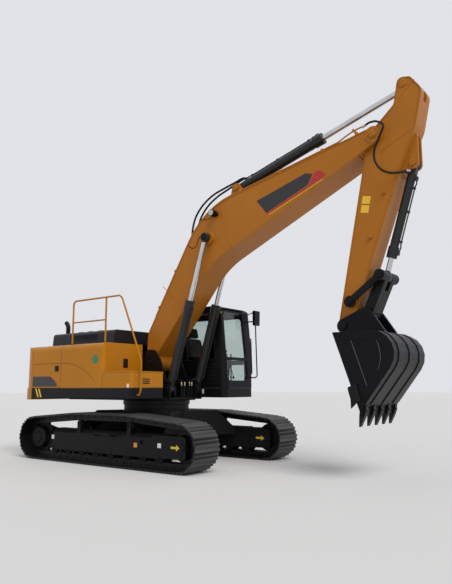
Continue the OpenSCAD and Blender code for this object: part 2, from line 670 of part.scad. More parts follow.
// Ribbed hood section between two stations, open below
module hood_shell(rear_x, front_x, y0, y1, ribs) {
    t = 20;
    z0 = house_z + fit;
    module section(d) {
        polygon(rounded([[y0 + d, z0 - (d > 0 ? 1 : 0), 0], [y0 + d + 20, house_z + hood_h - d, 70 - d],
            [y1 - d - 20, house_z + hood_h - d, 70 - d], [y1 - d, z0 - (d > 0 ? 1 : 0), 0]]));
    }
    difference() {
        beam(-rear_x, -front_x) section(0);
        beam(-rear_x + t, -front_x - t) section(t);
    }
    for (k = [1:ribs]) let (x = -rear_x + (rear_x - front_x) * k / (ribs + 1))
        box(x - 60, x + 60, y0 + 120, y1 - 120, house_z + hood_h - 4, house_z + hood_h + 14);
}
module top_covers() {
    hood_y = side_y - 445;
    color(black) at_swing() {
        difference() {
            hood_shell(weight_x - 10, hood_rear_x + door_gap, -hood_y, hood_y, 0);
            translate([-exhaust_x, exhaust_y, house_z]) cylinder(r = 62, h = hood_h + 10);
        }
        hood_shell(hood_front_x - door_gap, cover_front_x, -hood_y, cab_right_y - 30, 0);
    }
}
module engine_hood() {
    hood_y = side_y - 445;
    color(black) at_swing() hood_shell(hood_rear_x, hood_front_x, -hood_y, hood_y, 3);
}

exhaust_x = 1890;
exhaust_y = -700;
module exhaust() {
    r = 45;
    z0 = house_z - 180 + fit;
    color(black) at_swing() translate([-exhaust_x, exhaust_y, 0]) {
        translate([0, 0, z0]) cylinder(r = r, h = house_z + hood_h + 120 - z0);
        translate([-140, 0, house_z + hood_h + 120]) rotate([90, 0, 0]) rotate_extrude(angle = 60)
            translate([140, 0]) circle(r = r);
    }
}

module handrail() {
    y = -side_y + 95;
    z1 = house_z + rail_h;
    b = 70;
    mid_x = -tank_front_x - 60;
    rear_x = mid_x - 930;
    bar_x = box_front_x + 85;
    color(paint) at_swing() {
        pipe([[rear_x, y, house_z + fit], [rear_x, y, z1 - b], [rear_x + b * 0.3, y, z1 - b * 0.3],
            [rear_x + b, y, z1], [mid_x + 350, y, z1], [mid_x + 420, y, z1 - 50],
            [bar_x, y + 40, house_z - 350], [bar_x, y + 40, deck_z + 150],
            [bar_x - 35, y + 40, deck_z + 60], [box_front_x + fit, y + 40, deck_z + 60]], rail_r);
        pipe([[mid_x, y, house_z + fit], [mid_x, y, z1]], rail_r);
        pipe([[rear_x, y, house_z + rail_h / 2], [mid_x, y, house_z + rail_h / 2]], rail_r * 0.8);
    }
}

// Cab

cab_z = sill_z - 10;
windshield_top = 2800;
cab_side = rounded([[cab_rear, cab_z, 0], [cab_front_x, cab_z, 0], [cab_front_x, 1600, 0],
    [cab_front_x - 20, 1900, 0], [cab_front_x - 115, cab_top_z - 60, 60],
        [cab_front_x - 230, cab_top_z, 200],
    [cab_rear + 60, cab_top_z, 120], [cab_rear, cab_top_z - 180, 120]]);
door_rear_x = cab_front_x - 110 - cab_door_len;
// Side outline of the cab door
function door_outline(d) = rounded([[door_rear_x + d, cab_z + 20 + d, 60],
    [cab_front_x - 110 - d, cab_z + 20 + d, 60],
    [cab_front_x - 110 - d, 1900, 300], [cab_front_x - 190 - d, cab_top_z - 110 - d, 110],
    [door_rear_x + d, cab_top_z - 110 - d, 80]]);
// Windows as side outlines
right_window = rounded([[cab_rear + 130, 1850, 70], [cab_front_x - 240, 1850, 70],
    [cab_front_x - 300, cab_top_z - 130, 90], [cab_rear + 130, cab_top_z - 150, 90]]);
quarter_window = rounded([[cab_rear + 110, 1850, 60], [door_rear_x - 90, 1850, 60],
    [door_rear_x - 90, cab_top_z - 150, 60], [cab_rear + 110, cab_top_z - 150, 60]]);
front_y0 = cab_right_y + 70;
front_y1 = cab_left_y - 190;
// Front window outlines [y, z]: upper pane and lower pane
upper_pane = rounded([[front_y0, 1905, 40], [front_y1, 1905, 40], [front_y1 - 25, windshield_top, 90],
    [front_y0 + 10, windshield_top, 90]]);
lower_pane = rounded([[front_y0 + 15, cab_z + 150, 90], [front_y1 + 10, cab_z + 150, 90],
    [front_y1, 1850, 30], [front_y0, 1850, 30]]);
rear_pane = rounded([[cab_right_y + 110, 2240, 60], [cab_left_y - 110, 2240, 60],
    [cab_left_y - 110, cab_top_z - 190, 60], [cab_right_y + 110, cab_top_z - 190, 60]]);

module cab_plan(d) {
    rear_r = max(50 - d, 0);
    polygon(rounded([[cab_rear + d, cab_right_y + d, rear_r],
        [cab_front_x - d, cab_right_y + d, 130 - d],
        [cab_front_x - d, cab_left_y - d, 70 - d / 2], [cab_rear + d, cab_left_y - d, rear_r]]));
}
module cab_body(d) {
    intersection() {
        slab((cab_right_y + cab_left_y) / 2, cab_left_y - cab_right_y - 2 * d) offset(delta = -d)
            polygon(cab_side);
        translate([0, 0, cab_z - 50]) linear_extrude(cab_top_z - cab_z + 100) cab_plan(d);
    }
}
// Glass openings, grown by d on every side
module cab_openings(d) {
    beam(cab_front_x - 200, cab_front_x + 60) offset(delta = d) polygon(upper_pane);
    beam(cab_front_x - 200, cab_front_x + 60) offset(delta = d) polygon(lower_pane);
    beam(cab_rear - 10, cab_rear + cab_wall + 10) offset(delta = d) polygon(rear_pane);
    slab(cab_right_y + cab_wall / 2, cab_wall + 40) offset(delta = d) polygon(right_window);
    slab(cab_left_y - cab_wall / 2, cab_wall + 40) offset(delta = d) polygon(quarter_window);
}
// Floor, walls and roof of the cab with every opening cut
module cab_walls() {
    difference() {
        cab_body(0);
        cab_body(cab_wall);
        cab_openings(0);
        slab(cab_left_y, 2 * cab_wall + 60) polygon(door_outline(0));
    }
}
// Part of the cab walls that is the rear panel, up to its lap under the roof, grown by d
module rear_panel_room(d) {
    x = cab_rear + cab_wall;
    slab((cab_right_y + cab_left_y) / 2, cab_left_y - cab_right_y + 40) offset(delta = d)
        polygon([[cab_rear - 20, cab_z - 20], [x, cab_z - 20], [x, cab_top_z - 220],
            [x + 90, cab_top_z + 20], [cab_rear - 20, cab_top_z + 20]]);
}
module cab_rear_wall() {
    color(black) at_swing() intersection() {
        cab_walls();
        rear_panel_room(0);
    }
}
module cab_shell() {
    color(black) at_swing() {
        difference() {
            cab_walls();
            rear_panel_room(fit);
        }
        hinge_half(-1);
        // Visor over the windshield
        box(cab_front_x - 150, cab_front_x - 95, front_y0, front_y1, cab_top_z - 62, cab_top_z - 40);
    }
}
module cab_glass() {
    color(glass) at_swing() intersection() {
        difference() {
            cab_body(cab_wall / 2 - glass_t / 2);
            cab_body(cab_wall / 2 + glass_t / 2);
        }
        cab_openings(-fit);
    }
}
door_y = cab_left_y - cab_wall / 2;
hinge_x = door_rear_x + door_gap / 2;
hinge_y = cab_left_y + 14;
// Half of a cab door hinge, on the wall (way -1) or on the door (way 1)
module hinge_half(way) {
    for (z = [cab_z + 190, cab_top_z - 400]) translate([hinge_x, hinge_y, z + (way > 0 ? 45 + fit : 0)]) {
        cylinder(r = 12, h = 45);
        translate([way > 0 ? 0 : -45, -14, 0]) cube([45, 7, 45]);
    }
}
module cab_door() {
    color(black) at_swing() {
        hinge_half(1);
        slab(door_y, cab_wall) difference() {
            polygon(door_outline(door_gap));
            door_panes(0);
        }
        // Handle
        slab(cab_left_y + 8, 16) translate([cab_front_x - 240, 1810]) square([110, 30]);
    }
}
module door_panes(d) {
    difference() {
        offset(delta = -d) polygon(door_outline(door_gap + 60));
        translate([door_rear_x - 10, 1780 - d]) square([cab_door_len + 100, 90 + 2 * d]);
    }
}
module cab_door_glass() {
    color(glass) at_swing() slab(door_y, glass_t) door_panes(fit);
}

seat_x = 420;
seat_y = (cab_right_y + cab_left_y) / 2;
floor_z = cab_z + cab_wall;
module seat() {
    color(black) at_swing() translate([seat_x, seat_y, 0]) {
        box(-170, 200, -150, 150, floor_z + fit, floor_z + 260);
        slab(0, 480) polygon(rounded([[-230, floor_z + 250, 40], [280, floor_z + 250, 50],
            [280, floor_z + 390, 50], [-130, floor_z + 370, 30], [-250, floor_z + 1000, 60],
            [-360, floor_z + 980, 50], [-240, floor_z + 320, 60]]));
        slab(0, 280) polygon(rounded([[-330, floor_z + 960, 20], [-250, floor_z + 960, 20],
            [-270, floor_z + 1180, 40], [-370, floor_z + 1180, 40]]));
    }
}
module cab_controls() {
    color(black) at_swing() translate([seat_x, seat_y, 0]) {
        for (e = [-1, 1]) {
            // Console with its joystick
            slab(e * 315, 130) polygon(rounded([[-150, floor_z + fit, 0], [330, floor_z + fit, 0],
                [380, floor_z + 560, 40], [-100, floor_z + 560, 40]]));
            translate([300, e * 315, floor_z + 550]) cylinder(r = 16, h = 150);
            translate([300, e * 315, floor_z + 700]) sphere(r = 32);
            // Travel lever and pedal
            translate([620, e * 70, floor_z + fit]) cylinder(r = 14, h = 620);
            box(560, 720, e * 70 - 45, e * 70 + 45, floor_z + fit, floor_z + 40);
        }
        // Monitor on its post
        translate([560, -330, floor_z + fit]) cylinder(r = 18, h = 700);
        box(542, 582, -385, -205, floor_z + 699, floor_z + 850);
    }
}
module mirror() {
    x = cab_front_x + 75;
    y = cab_left_y;
    color(black) at_swing() {
        pipe([[cab_front_x - 92, y - 75, 2640], [x - 20, y - 75, 2640], [x, y, 2600], [x + 30, y, 1560],
            [x, y - 10, 1520],
            [cab_front_x + 30, y - 80, 1520], [cab_front_x + fit, y - 80, 1520]], 13);
        slab(y, 170) polygon(rounded([[x - 10, 2560, 20], [x + 45, 2560, 20], [x + 55, 2860, 25],
            [x - 10, 2860, 20]]));
    }
}

// Working equipment

// Beam of plates: side webs set in by web_lip from the edges of the top and bottom plates
web_lip = 10;
module plate_beam(w) {
    flange = 16;
    slab(0, w - 2 * web_lip) children();
    slab(0, w) difference() {
        children();
        offset(delta = -flange) children();
    }
}
lug_gap = 58;
lug_t = 32;
lug_r = 92;
module lug(p, base) {
    for (e = [-1, 1]) slab(e * (lug_gap + lug_t / 2), lug_t) hull() {
        translate(p) circle(r = lug_r, $fn = 32);
        polygon(base);
    }
}
module boom() {
    fork_gap = arm_w + 2 * side_gap + 38;
    color(paint) at_swing() hung(foot_pin, boom_a) {
        difference() {
            union() {
                plate_beam(boom_w) polygon(boom_outline);
                cross_bar([0, 0], 0, boom_w, foot_boss_r);
                cross_bar([boom_len, 0], 0, boom_w, tip_boss_r);
                for (e = [-1, 1]) {
                    // Flush bosses at the pins of the boom cylinders
                    cross_bar(ram_head, e * (ram_y - eye_w / 2 - side_gap - 35), 70, 125);
                    cross_bar([boom_len, 0], e * (boom_w / 2 + 8), 16, 70);
                }
                lug(stick_foot, [[stick_foot_x - 330, stick_foot[1] - 244],
                    [stick_foot_x + 110, stick_foot[1] - 374],
                    [stick_foot_x + 110, stick_foot[1] - 304],
                        [stick_foot_x - 280, stick_foot[1] - 134]]);
                cross_bar(stick_foot, 0, 2 * (lug_gap + lug_t + 14), pin_r);
            }
            cross_bar([0, 0], 0, boom_w + 2, pin_r + fit);
            translate([boom_len - fork_len, -fork_gap / 2, -400]) cube([fork_len + 300, fork_gap, 800]);
        }
        cross_bar([boom_len, 0], 0, boom_w, pin_r);
    }
}

// Steel pipes along the top of the boom, on clamps
pipe_h = 42;
// Point at share t of the way from a to b, raised by h
function raised(a, b, t, h) = a + (b - a) * t + turn(90, unit(b - a)) * h;
function raised_corner(a, b, c, h) =
    let (n = turn(90, unit(b - a)), m = unit(n + turn(90, unit(c - b)))) b + m * h / (m * n);
pipe_line = concat([raised(boom_top[0], boom_top[1], 0.14, pipe_h)],
    fillet(raised(boom_top[0], boom_top[1], 0, pipe_h), raised_corner(boom_top[0], boom_top[1],
        boom_top[2], pipe_h),
        raised(boom_top[1], boom_top[2], 1, pipe_h), boom_bend_r + pipe_h),
    [raised(boom_top[1], boom_top[2], 0.84, pipe_h)]);
module boom_pipes() {
    color(paint) at_swing() hung(foot_pin, boom_a) for (e = [-1, 1]) {
        for (k = [0, 1]) pipe([for (p = pipe_line) [p[0], e * (220 - 52 * k), p[1]]], 14);
        // Clamps: [section of the top, share of its length]
        for (c = [[0, 0.2], [0, 0.5], [1, 0.25], [1, 0.5], [1, 0.75]])
            let (a = boom_top[c[0]], b = boom_top[c[0] + 1], p = raised(a, b, c[1], fit))
            translate([p[0], e * 194 - 52, p[1]]) rotate([0, -angle_of(b - a), 0])
                cube([45, 104, pipe_h + 18]);
    }
}
// Middle of the work lamp, in the boom's frame
lamp_at = [boom_top[1][0] + 161, boom_rise - 284];
module work_lamp() {
    color(black) at_swing() hung(foot_pin, boom_a) {
        slab(-boom_w / 2 - 20 + web_lip / 2, 40 + web_lip) translate([lamp_at[0] - 10, lamp_at[1] - 60])
            square([60, 60]);
        slab(-boom_w / 2 - 70, 110) translate(lamp_at) circle(r = 60);
    }
}

// Barrel of a cylinder along +X from its base pin: [barrel radius, length, gland radius, rod radius]
boom_ram = [75, 1662, 90, 44];
stick_ram = [82, 1840, 98, 50];
curl_ram = [66, arm_len - 1530, 80, 40];
// Shortest lengths from pin to pin, and how far the rod's inner end stays from the base pin
ram_tail = 205;
boom_ram_min = boom_ram[1] + 288;
stick_ram_min = stick_ram[1] + 150;
curl_ram_min = curl_ram[1] + 240;
// Where a barrel starts beyond the lugs round its base pin
barrel_x = lug_r + 58;
module barrel(size, w) {
    difference() {
        union() {
            cross_bar([0, 0], 0, w, eye_r);
            translate([0, -w / 2, -60]) cube([barrel_x + 10, w, 120]);
            translate([barrel_x, 0, 0]) rotate([0, 90, 0]) cylinder(r = size[0], h = size[1] - barrel_x);
            translate([size[1] - 170, 0, 0]) rotate([0, 90, 0]) cylinder(r = size[2], h = 170);
        }
        cross_bar([0, 0], 0, w + 2, pin_r + fit);
        translate([ram_tail - 40, 0, 0]) rotate([0, 90, 0]) cylinder(r = size[3] + fit, h = size[1]);
    }
}
// Rod with its eye and pin at the far end: reach is from pin to pin, len is the rod's own length
module rod(size, reach, len, w, r) {
    translate([reach - len, 0, 0]) rotate([0, 90, 0]) cylinder(r = size[3], h = len);
    cross_bar([reach, 0], 0, w, r);
    cross_bar([reach, 0], 0, w + 2 * (side_gap - fit), pin_r);
}
boom_ram_now = norm(on_boom(ram_head) - ram_foot);
stick_ram_now = norm(on_arm(stick_head) - on_boom(stick_foot));
curl_ram_now = norm(link_b - on_arm(curl_foot));
module boom_cylinders() {
    color(black) at_swing() for (e = [-1, 1]) translate([0, e * ram_y, 0])
        aim(ram_foot, on_boom(ram_head)) barrel(boom_ram, eye_w);
}
module boom_rods() {
    color(chrome) at_swing() for (e = [-1, 1]) translate([0, e * ram_y, 0])
        aim(ram_foot, on_boom(ram_head)) rod(boom_ram, boom_ram_now, boom_ram_min - ram_tail, eye_w,
            eye_r);
}
module arm_cylinder() {
    color(black) at_swing() aim(on_boom(stick_foot), on_arm(stick_head))
        barrel(stick_ram, 2 * lug_gap - 2 * side_gap);
}
module arm_rod() {
    color(chrome) at_swing() aim(on_boom(stick_foot), on_arm(stick_head))
        rod(stick_ram, stick_ram_now, stick_ram_min - ram_tail, 2 * lug_gap - 2 * side_gap, eye_r + 5);
}
module bucket_cylinder() {
    color(black) at_swing() aim(on_arm(curl_foot), link_b) barrel(curl_ram, 2 * lug_gap - 2 * side_gap);
}
module bucket_rod() {
    color(chrome) at_swing() aim(on_arm(curl_foot), link_b)
        rod(curl_ram, curl_ram_now, curl_ram_min - ram_tail, 2 * lug_gap - 2 * side_gap, eye_r);
}

ear_t = 42;
ear_y = arm_w / 2 + side_gap + ear_t / 2;
link_t = 45;
link_y = ear_y + ear_t / 2 + side_gap + link_t / 2;
// How far from the boom tip pin the two cheeks of the arm's nose part
clevis_x = 555;
module arm() {
    boss_w = arm_w + 38;
    color(paint) at_swing() hung(tip_pin, arm_a) difference() {
        union() {
            plate_beam(arm_w) polygon(arm_outline);
            cross_bar([0, 0], 0, boss_w, tip_boss_r - 4);
            cross_bar([arm_len, 0], 0, arm_w, arm_tip_r);
            // Bosses that hold the side links clear of the bucket's ears
            cross_bar(link_foot_pin, 0, 2 * (link_y - link_t / 2 - side_gap), 88);
            lug(curl_foot, [[curl_foot[0] - 560, 560], [curl_foot[0] - 420, 640],
                [curl_foot[0] + 120, 480],
                [curl_foot[0] + 40, 430]]);
            cross_bar(curl_foot, 0, 2 * (lug_gap + lug_t + 14), pin_r);
        }
        cross_bar([0, 0], 0, boss_w + 2, pin_r + fit);
        cross_bar([arm_len, 0], 0, arm_w + 2, pin_r + fit);
        cross_bar(link_foot_pin, 0, 2 * link_y, pin_r + fit);
        // Clevis for the eye of the arm cylinder's rod
        translate([-1100, -lug_gap, -200]) cube([1100 - clevis_x, 2 * lug_gap, 1000]);
    }
}

module link_plate(a, b, ra, rb, neck) {
    u = unit(b - a);
    n = [-u[1], u[0]];
    hull() {
        translate(a + u * ra * 0.6) circle(r = neck, $fn = 24);
        translate(b - u * rb * 0.6) circle(r = neck, $fn = 24);
    }
    translate(a) circle(r = ra);
    translate(b) circle(r = rb);
}
module side_links() {
    color(black) at_swing() {
        for (e = [-1, 1]) {
            slab(e * link_y, link_t) link_plate(link_a, link_b, 88, 85, 48);
            cross_bar(link_b, e * (link_y / 2 + 40), link_y - 40, pin_r);
        }
        cross_bar(link_a, 0, 2 * link_y + link_t + 30, pin_r);
    }
}
module h_link() {
    u = unit(link_c - link_b);
    head_w = 2 * (link_y - link_t / 2 - side_gap);
    foot_w = arm_w;
    color(black) at_swing() difference() {
        union() {
            cross_bar(link_b, 0, head_w, 84);
            cross_bar(link_c, 0, foot_w, 84);
            slab(0, foot_w - 40) hull() {
                translate(link_b + u * 60) circle(r = 75, $fn = 24);
                translate(link_c - u * 60) circle(r = 80, $fn = 24);
            }
        }
        for (e = [-1, 1]) cross_bar(link_b, e * link_y, 2 * link_y - 40, pin_r + fit);
        // Fork round the eye of the bucket cylinder's rod
        slab(0, 2 * lug_gap) translate(link_b) rotate(angle_of(u)) translate([-200, -200])
            square([395, 400]);
    }
}

// Bucket, in its own frame from the bucket pin to the tips of the teeth
mouth_top = [120, -40];
lip = [bucket_reach - 184, 76];
heel = [412, 1226];
heel_r = 340;
curl_clear_r = arm_tip_r + 63;
// Side outline of the bucket, with its mouth moved out by extend
module bucket_outline(extend) {
    a = mouth_top + unit(mouth_top - heel) * extend;
    c = lip + unit(lip - heel) * extend;
    polygon(rounded([[a[0], a[1], 0], [heel[0], heel[1], heel_r], [c[0], c[1], 0]]));
}
// Section through wrapper and lip plate
module wrapper_section() {
    difference() {
        bucket_outline(0);
        offset(delta = -wrap_t) bucket_outline(300);
    }
    polygon([lip + [-70, 25], lip + [-45, 62], lip + [52, 16], lip + [44, -16], lip + [0, 0]]);
}
module bucket() {
    color(black) at_swing() hung(bucket_pin, bucket_a) difference() {
        union() {
            // Wrapper, cut between the ears to clear the arm's tip when it is curled in
            difference() {
                slab(0, bucket_w) wrapper_section();
                cross_bar([0, 0], 0, 2 * ear_y - ear_t, curl_clear_r);
            }
            for (e = [-1, 1]) slab(e * (bucket_w - side_t) / 2, side_t) bucket_outline(0);
            // Wear plates on the sides
            for (e = [-1, 1]) slab(e * (bucket_w / 2 + 6), 12) difference() {
                bucket_outline(-160);
                offset(delta = -130) bucket_outline(300);
            }
            // Wear strips on the back
            for (y = [-1, 0, 1]) slab(y * bucket_w / 3, 90) difference() {
                offset(delta = 12) bucket_outline(-160);
                offset(delta = -10) bucket_outline(100);
            }
            // Ears
            for (e = [-1, 1]) slab(e * ear_y, ear_t) hull() {
                circle(r = 108, $fn = 32);
                translate(ear_pin) circle(r = 100, $fn = 32);
                polygon([mouth_top, mouth_top + [30, 40], mouth_top + (heel - mouth_top) * 0.52]);
            }
            cross_bar([0, 0], 0, 2 * ear_y + ear_t + 40, pin_r);
        }
        for (e = [-1, 1]) cross_bar(ear_pin, e * (ear_y - ear_t / 2 - 1), 20, pin_r);
    }
}
tooth_w = 76;
cutter_t = 22;
module bucket_teeth() {
    first_y = bucket_w / 2 - side_t - tooth_w / 2 - 4;
    root = lip + [-60, 58];
    way = [bucket_reach, 0] - root;
    long = norm(way);
    color(black) at_swing() hung(bucket_pin, bucket_a) {
        // Adapters and teeth, forked over the lip plate
        for (k = [0:tooth_count - 1]) slab(first_y * (2 * k / (tooth_count - 1) - 1), tooth_w)
            difference() {
            translate(root) rotate(angle_of(way)) polygon([[-30, -10], [-30, 34], [60, 48], [130, 40],
                [long, 7], [long, -7], [130, -38], [60, -46], [0, -44]]);
            offset(delta = fit) wrapper_section();
        }
        // Side cutters
        for (e = [-1, 1]) slab(e * (bucket_w / 2 + cutter_t / 2 + fit), cutter_t) polygon([
            [lip[0] - 400, 130], [lip[0] - 385, 0], [lip[0] - 350, -12], [lip[0] - 215, -6],
            [lip[0] - 84, -34], [lip[0] - 140, 70], [lip[0] - 160, 140]]);
    }
}

carbody();
slew_ring();
track_frame(1);  // track_frame_left
track_frame(-1);  // track_frame_right
track(1);  // track_left
track(-1);  // track_right
idlers();
sprockets();
final_drives();
track_rollers();
upper_frame();
counterweight();
engine();
fuel_tank();
tool_box();
tool_box_lid();
house_walls();
pump_door();
radiator_door();
filter_door();
top_covers();
engine_hood();
exhaust();
lifting_eyes();
handrail();
cab_shell();
cab_rear_wall();
cab_glass();
cab_door();
cab_door_glass();
seat();
cab_controls();
mirror();
boom();
boom_pipes();
work_lamp();
boom_cylinders();
boom_rods();
arm_cylinder();
arm_rod();
arm();
bucket_cylinder();
bucket_rod();
side_links();
h_link();
bucket();
bucket_teeth();
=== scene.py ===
# %% [markdown]
# # A crawler excavator, dressed for its picture
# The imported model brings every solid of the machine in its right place, with its joints. This lesson
# adds what makes such a machine look real: paint with dust in it, hoses, bolts, labels and a seat.
# Distances are metres, +X is forward, +Y is the driver's left, and the ground is z = 0.

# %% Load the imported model
import json
import math

import bmesh
import bpy
from mathutils import Matrix, Vector


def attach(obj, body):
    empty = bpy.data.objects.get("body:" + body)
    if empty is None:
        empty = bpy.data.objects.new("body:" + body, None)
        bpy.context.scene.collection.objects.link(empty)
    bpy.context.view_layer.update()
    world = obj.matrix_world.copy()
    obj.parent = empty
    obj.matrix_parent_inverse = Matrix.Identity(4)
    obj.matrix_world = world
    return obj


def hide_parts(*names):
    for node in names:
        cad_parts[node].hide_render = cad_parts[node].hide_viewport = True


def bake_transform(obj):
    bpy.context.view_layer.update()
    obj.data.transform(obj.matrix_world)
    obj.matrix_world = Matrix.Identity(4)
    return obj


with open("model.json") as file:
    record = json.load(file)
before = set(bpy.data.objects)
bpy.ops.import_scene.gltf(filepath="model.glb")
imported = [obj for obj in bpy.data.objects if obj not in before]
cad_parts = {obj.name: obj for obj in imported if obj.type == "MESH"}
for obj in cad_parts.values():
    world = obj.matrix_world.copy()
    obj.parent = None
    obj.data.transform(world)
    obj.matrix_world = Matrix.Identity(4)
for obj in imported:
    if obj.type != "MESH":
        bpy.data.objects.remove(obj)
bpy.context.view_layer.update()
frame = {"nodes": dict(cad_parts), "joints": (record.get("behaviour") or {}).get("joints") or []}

# %% [markdown]
# ## Where things are
# A machine is easiest to place from its own axes. The house turns about the swing axis, the boom lies
# between foot pin and tip pin, and each cylinder points along its stroke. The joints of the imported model
# say where all these are, so each body gets a matrix that turns its own measures [along, across, above]
# into a point of the picture. The house's measures start at the swing axis, on the ground.

# %% Frames of house, boom, arm, bucket and cylinders
pin = {joint["name"]: Vector(joint["pos_m"]) for joint in frame["joints"] if "pos_m" in joint}
stroke = {joint["name"]: Vector(joint["axis"]) for joint in frame["joints"] if joint["type"] == "slide"}


def pinned(spot, degrees, y=0.0):
    """Frame with its origin on a pin and its first axis turned up from level by an angle."""
    return Matrix.Translation((spot.x, y, spot.z)) @ Matrix.Rotation(math.radians(-degrees), 4, "Y")


def rise(way):
    """Degrees from level of a direction in the machine's middle plane."""
    return math.degrees(math.atan2(way.z, way.x))


def cylinder_frame(ram, y=0.0):
    """Frame at a cylinder's base pin, along its barrel."""
    return pinned(pin[f"{ram}_cylinder_turn"], rise(stroke[f"{ram}_cylinder_stroke"]), y)


house = Matrix.Translation((pin["swing"].x, 0, 0))
boom_frame = pinned(pin["boom_lift"], rise(pin["arm_fold"] - pin["boom_lift"]))
arm_frame = pinned(pin["arm_fold"], rise(pin["bucket_curl"] - pin["arm_fold"]))
bucket_frame = pinned(pin["bucket_curl"], -76.3)
boom_ram = [cylinder_frame("boom", side * 0.380) for side in (-1, 1)]
stick_ram, curl_ram = cylinder_frame("arm"), cylinder_frame("bucket")
boom_len = (pin["arm_fold"] - pin["boom_lift"]).length
print("boom from pin to pin:", round(boom_len, 3), "m")

# %% Faces that pieces are laid on, as distances from the machine's middle plane or the ground
boom_web, arm_web = 0.265, 0.180
wall_y, cab_y = 1.345, 0.490
walk_z = 2.140
track_y, drive_x, axle_z = 1.190, 1.865, 0.395

# %% [markdown]
# ## The camera
# The picture was taken by somebody standing in front of the machine, at its right, with a normal lens
# held at head height and tipped up a little. The lens and the place were worked out from lines whose
# real length is known, so the camera is set once and never nudged by eye.

# %% Set the camera
camera = bpy.data.objects.new("camera", bpy.data.cameras.new("camera"))
bpy.context.scene.collection.objects.link(camera)
yaw, pitch, roll = math.radians(127.349), math.radians(9.117), math.radians(-0.115)
ahead = Vector((math.cos(yaw) * math.cos(pitch), math.sin(yaw) * math.cos(pitch), math.sin(pitch)))
right = Vector((math.sin(yaw), -math.cos(yaw), 0))
above = right.cross(ahead)
right, above = (right * math.cos(roll) + above * math.sin(roll),
                above * math.cos(roll) - right * math.sin(roll))
turned = Matrix((right, above, -ahead)).transposed().to_4x4()
camera.matrix_world = house @ Matrix.Translation((8.216, -8.543, 1.320)) @ turned
camera.data.lens = 36.82
camera.data.clip_end = 500
bpy.context.scene.camera = camera
bpy.context.scene.view_settings.view_transform = "Standard"
print("camera lens", round(camera.data.lens, 2), "mm")

# %% [markdown]
# ## Floor and light
# An overcast sky is one very large soft lamp. A world of even light with one wide sun does the same,
# and leaves colours about as they are written. Rays from the camera, and those that glass and metal
# send on, see a paler sky than the one that lights the machine, which Light Path tells apart.

# %% Make floor, sky and sun
def join(tree, kind, values=None, **settings):
    """Adds a node; a value is a number, a colour or another node's output."""
    made = tree.nodes.new(kind)
    for setting, value in settings.items():
        setattr(made, setting, value)
    for key, value in (values or {}).items():
        if isinstance(value, bpy.types.NodeSocket):
            tree.links.new(value, made.inputs[key])
        else:
            made.inputs[key].default_value = value
    return made


def blend_colour(tree, share, a, b):
    return join(tree, "ShaderNodeMix", {0: share, 6: a, 7: b}, data_type="RGBA").outputs[2]


def blend_value(tree, share, a, b):
    return join(tree, "ShaderNodeMix", {0: share, 2: a, 3: b}, data_type="FLOAT").outputs[0]


world = bpy.context.scene.world or bpy.data.worlds.new("sky")
bpy.context.scene.world = world
world.use_nodes = True
sky = world.node_tree
sky.nodes.clear()
light_path = join(sky, "ShaderNodeLightPath")
seen = join(sky, "ShaderNodeMath", {0: light_path.outputs["Is Camera Ray"],
                                    1: light_path.outputs["Is Glossy Ray"]}, operation="MAXIMUM")
seen = join(sky, "ShaderNodeMath", {0: seen.outputs[0],
                                    1: light_path.outputs["Is Transmission Ray"]}, operation="MAXIMUM")
pale = join(sky, "ShaderNodeBackground", {"Color": (0.75, 0.765, 0.80, 1), "Strength": 1.0})
glow = join(sky, "ShaderNodeBackground", {"Color": (0.96, 0.98, 1.0, 1), "Strength": 0.5})
both = join(sky, "ShaderNodeMixShader", {0: seen.outputs[0], 1: glow.outputs[0], 2: pale.outputs[0]})
join(sky, "ShaderNodeOutputWorld", {"Surface": both.outputs[0]})

sun = bpy.data.objects.new("sun", bpy.data.lights.new("sun", "SUN"))
bpy.context.scene.collection.objects.link(sun)
sun.data.energy = 1.9
sun.data.angle = math.radians(35)
sun.rotation_euler = Vector((0.80, -0.40, 1.0)).to_track_quat("Z", "Y").to_euler()

floor_shape = bmesh.new()
bmesh.ops.create_grid(floor_shape, x_segments=1, y_segments=1, size=150)
floor_mesh = bpy.data.meshes.new("floor")
floor_shape.to_mesh(floor_mesh)
floor_shape.free()
floor = bpy.data.objects.new("floor", floor_mesh)
bpy.context.scene.collection.objects.link(floor)
concrete = bpy.data.materials.new("floor_concrete")
concrete.use_nodes = True
tree = concrete.node_tree
principled = tree.nodes["Principled BSDF"]
principled.inputs["Roughness"].default_value = 0.9
spots = join(tree, "ShaderNodeTexNoise", {"Scale": 1.4, "Detail": 8.0})
tree.links.new(blend_colour(tree, spots.outputs[0], (0.70, 0.69, 0.68, 1), (0.77, 0.76, 0.75, 1)),
               principled.inputs["Base Color"])
floor_mesh.materials.append(concrete)
print("floor, sky and sun made")

# %% [markdown]
# ## Finishes that many materials share
# Paint is never one flat colour: it drifts a little over a panel, dust settles on what faces up and
# near the ground, edges and worked places rub bare, and a sprayed coat has a fine skin. Each of these
# is a node group with its own knobs, built once, so a change to the dust changes the whole machine.

# %% Build the node groups
def new_group(name, inputs, outputs):
    group = bpy.data.node_groups.new(name, "ShaderNodeTree")
    for label, kind, value in inputs:
        socket = group.interface.new_socket(name=label, in_out="INPUT", socket_type="NodeSocket" + kind)
        socket.default_value = value
    for label, kind in outputs:
        group.interface.new_socket(name=label, in_out="OUTPUT", socket_type="NodeSocket" + kind)
    return group, join(group, "NodeGroupInput"), join(group, "NodeGroupOutput")


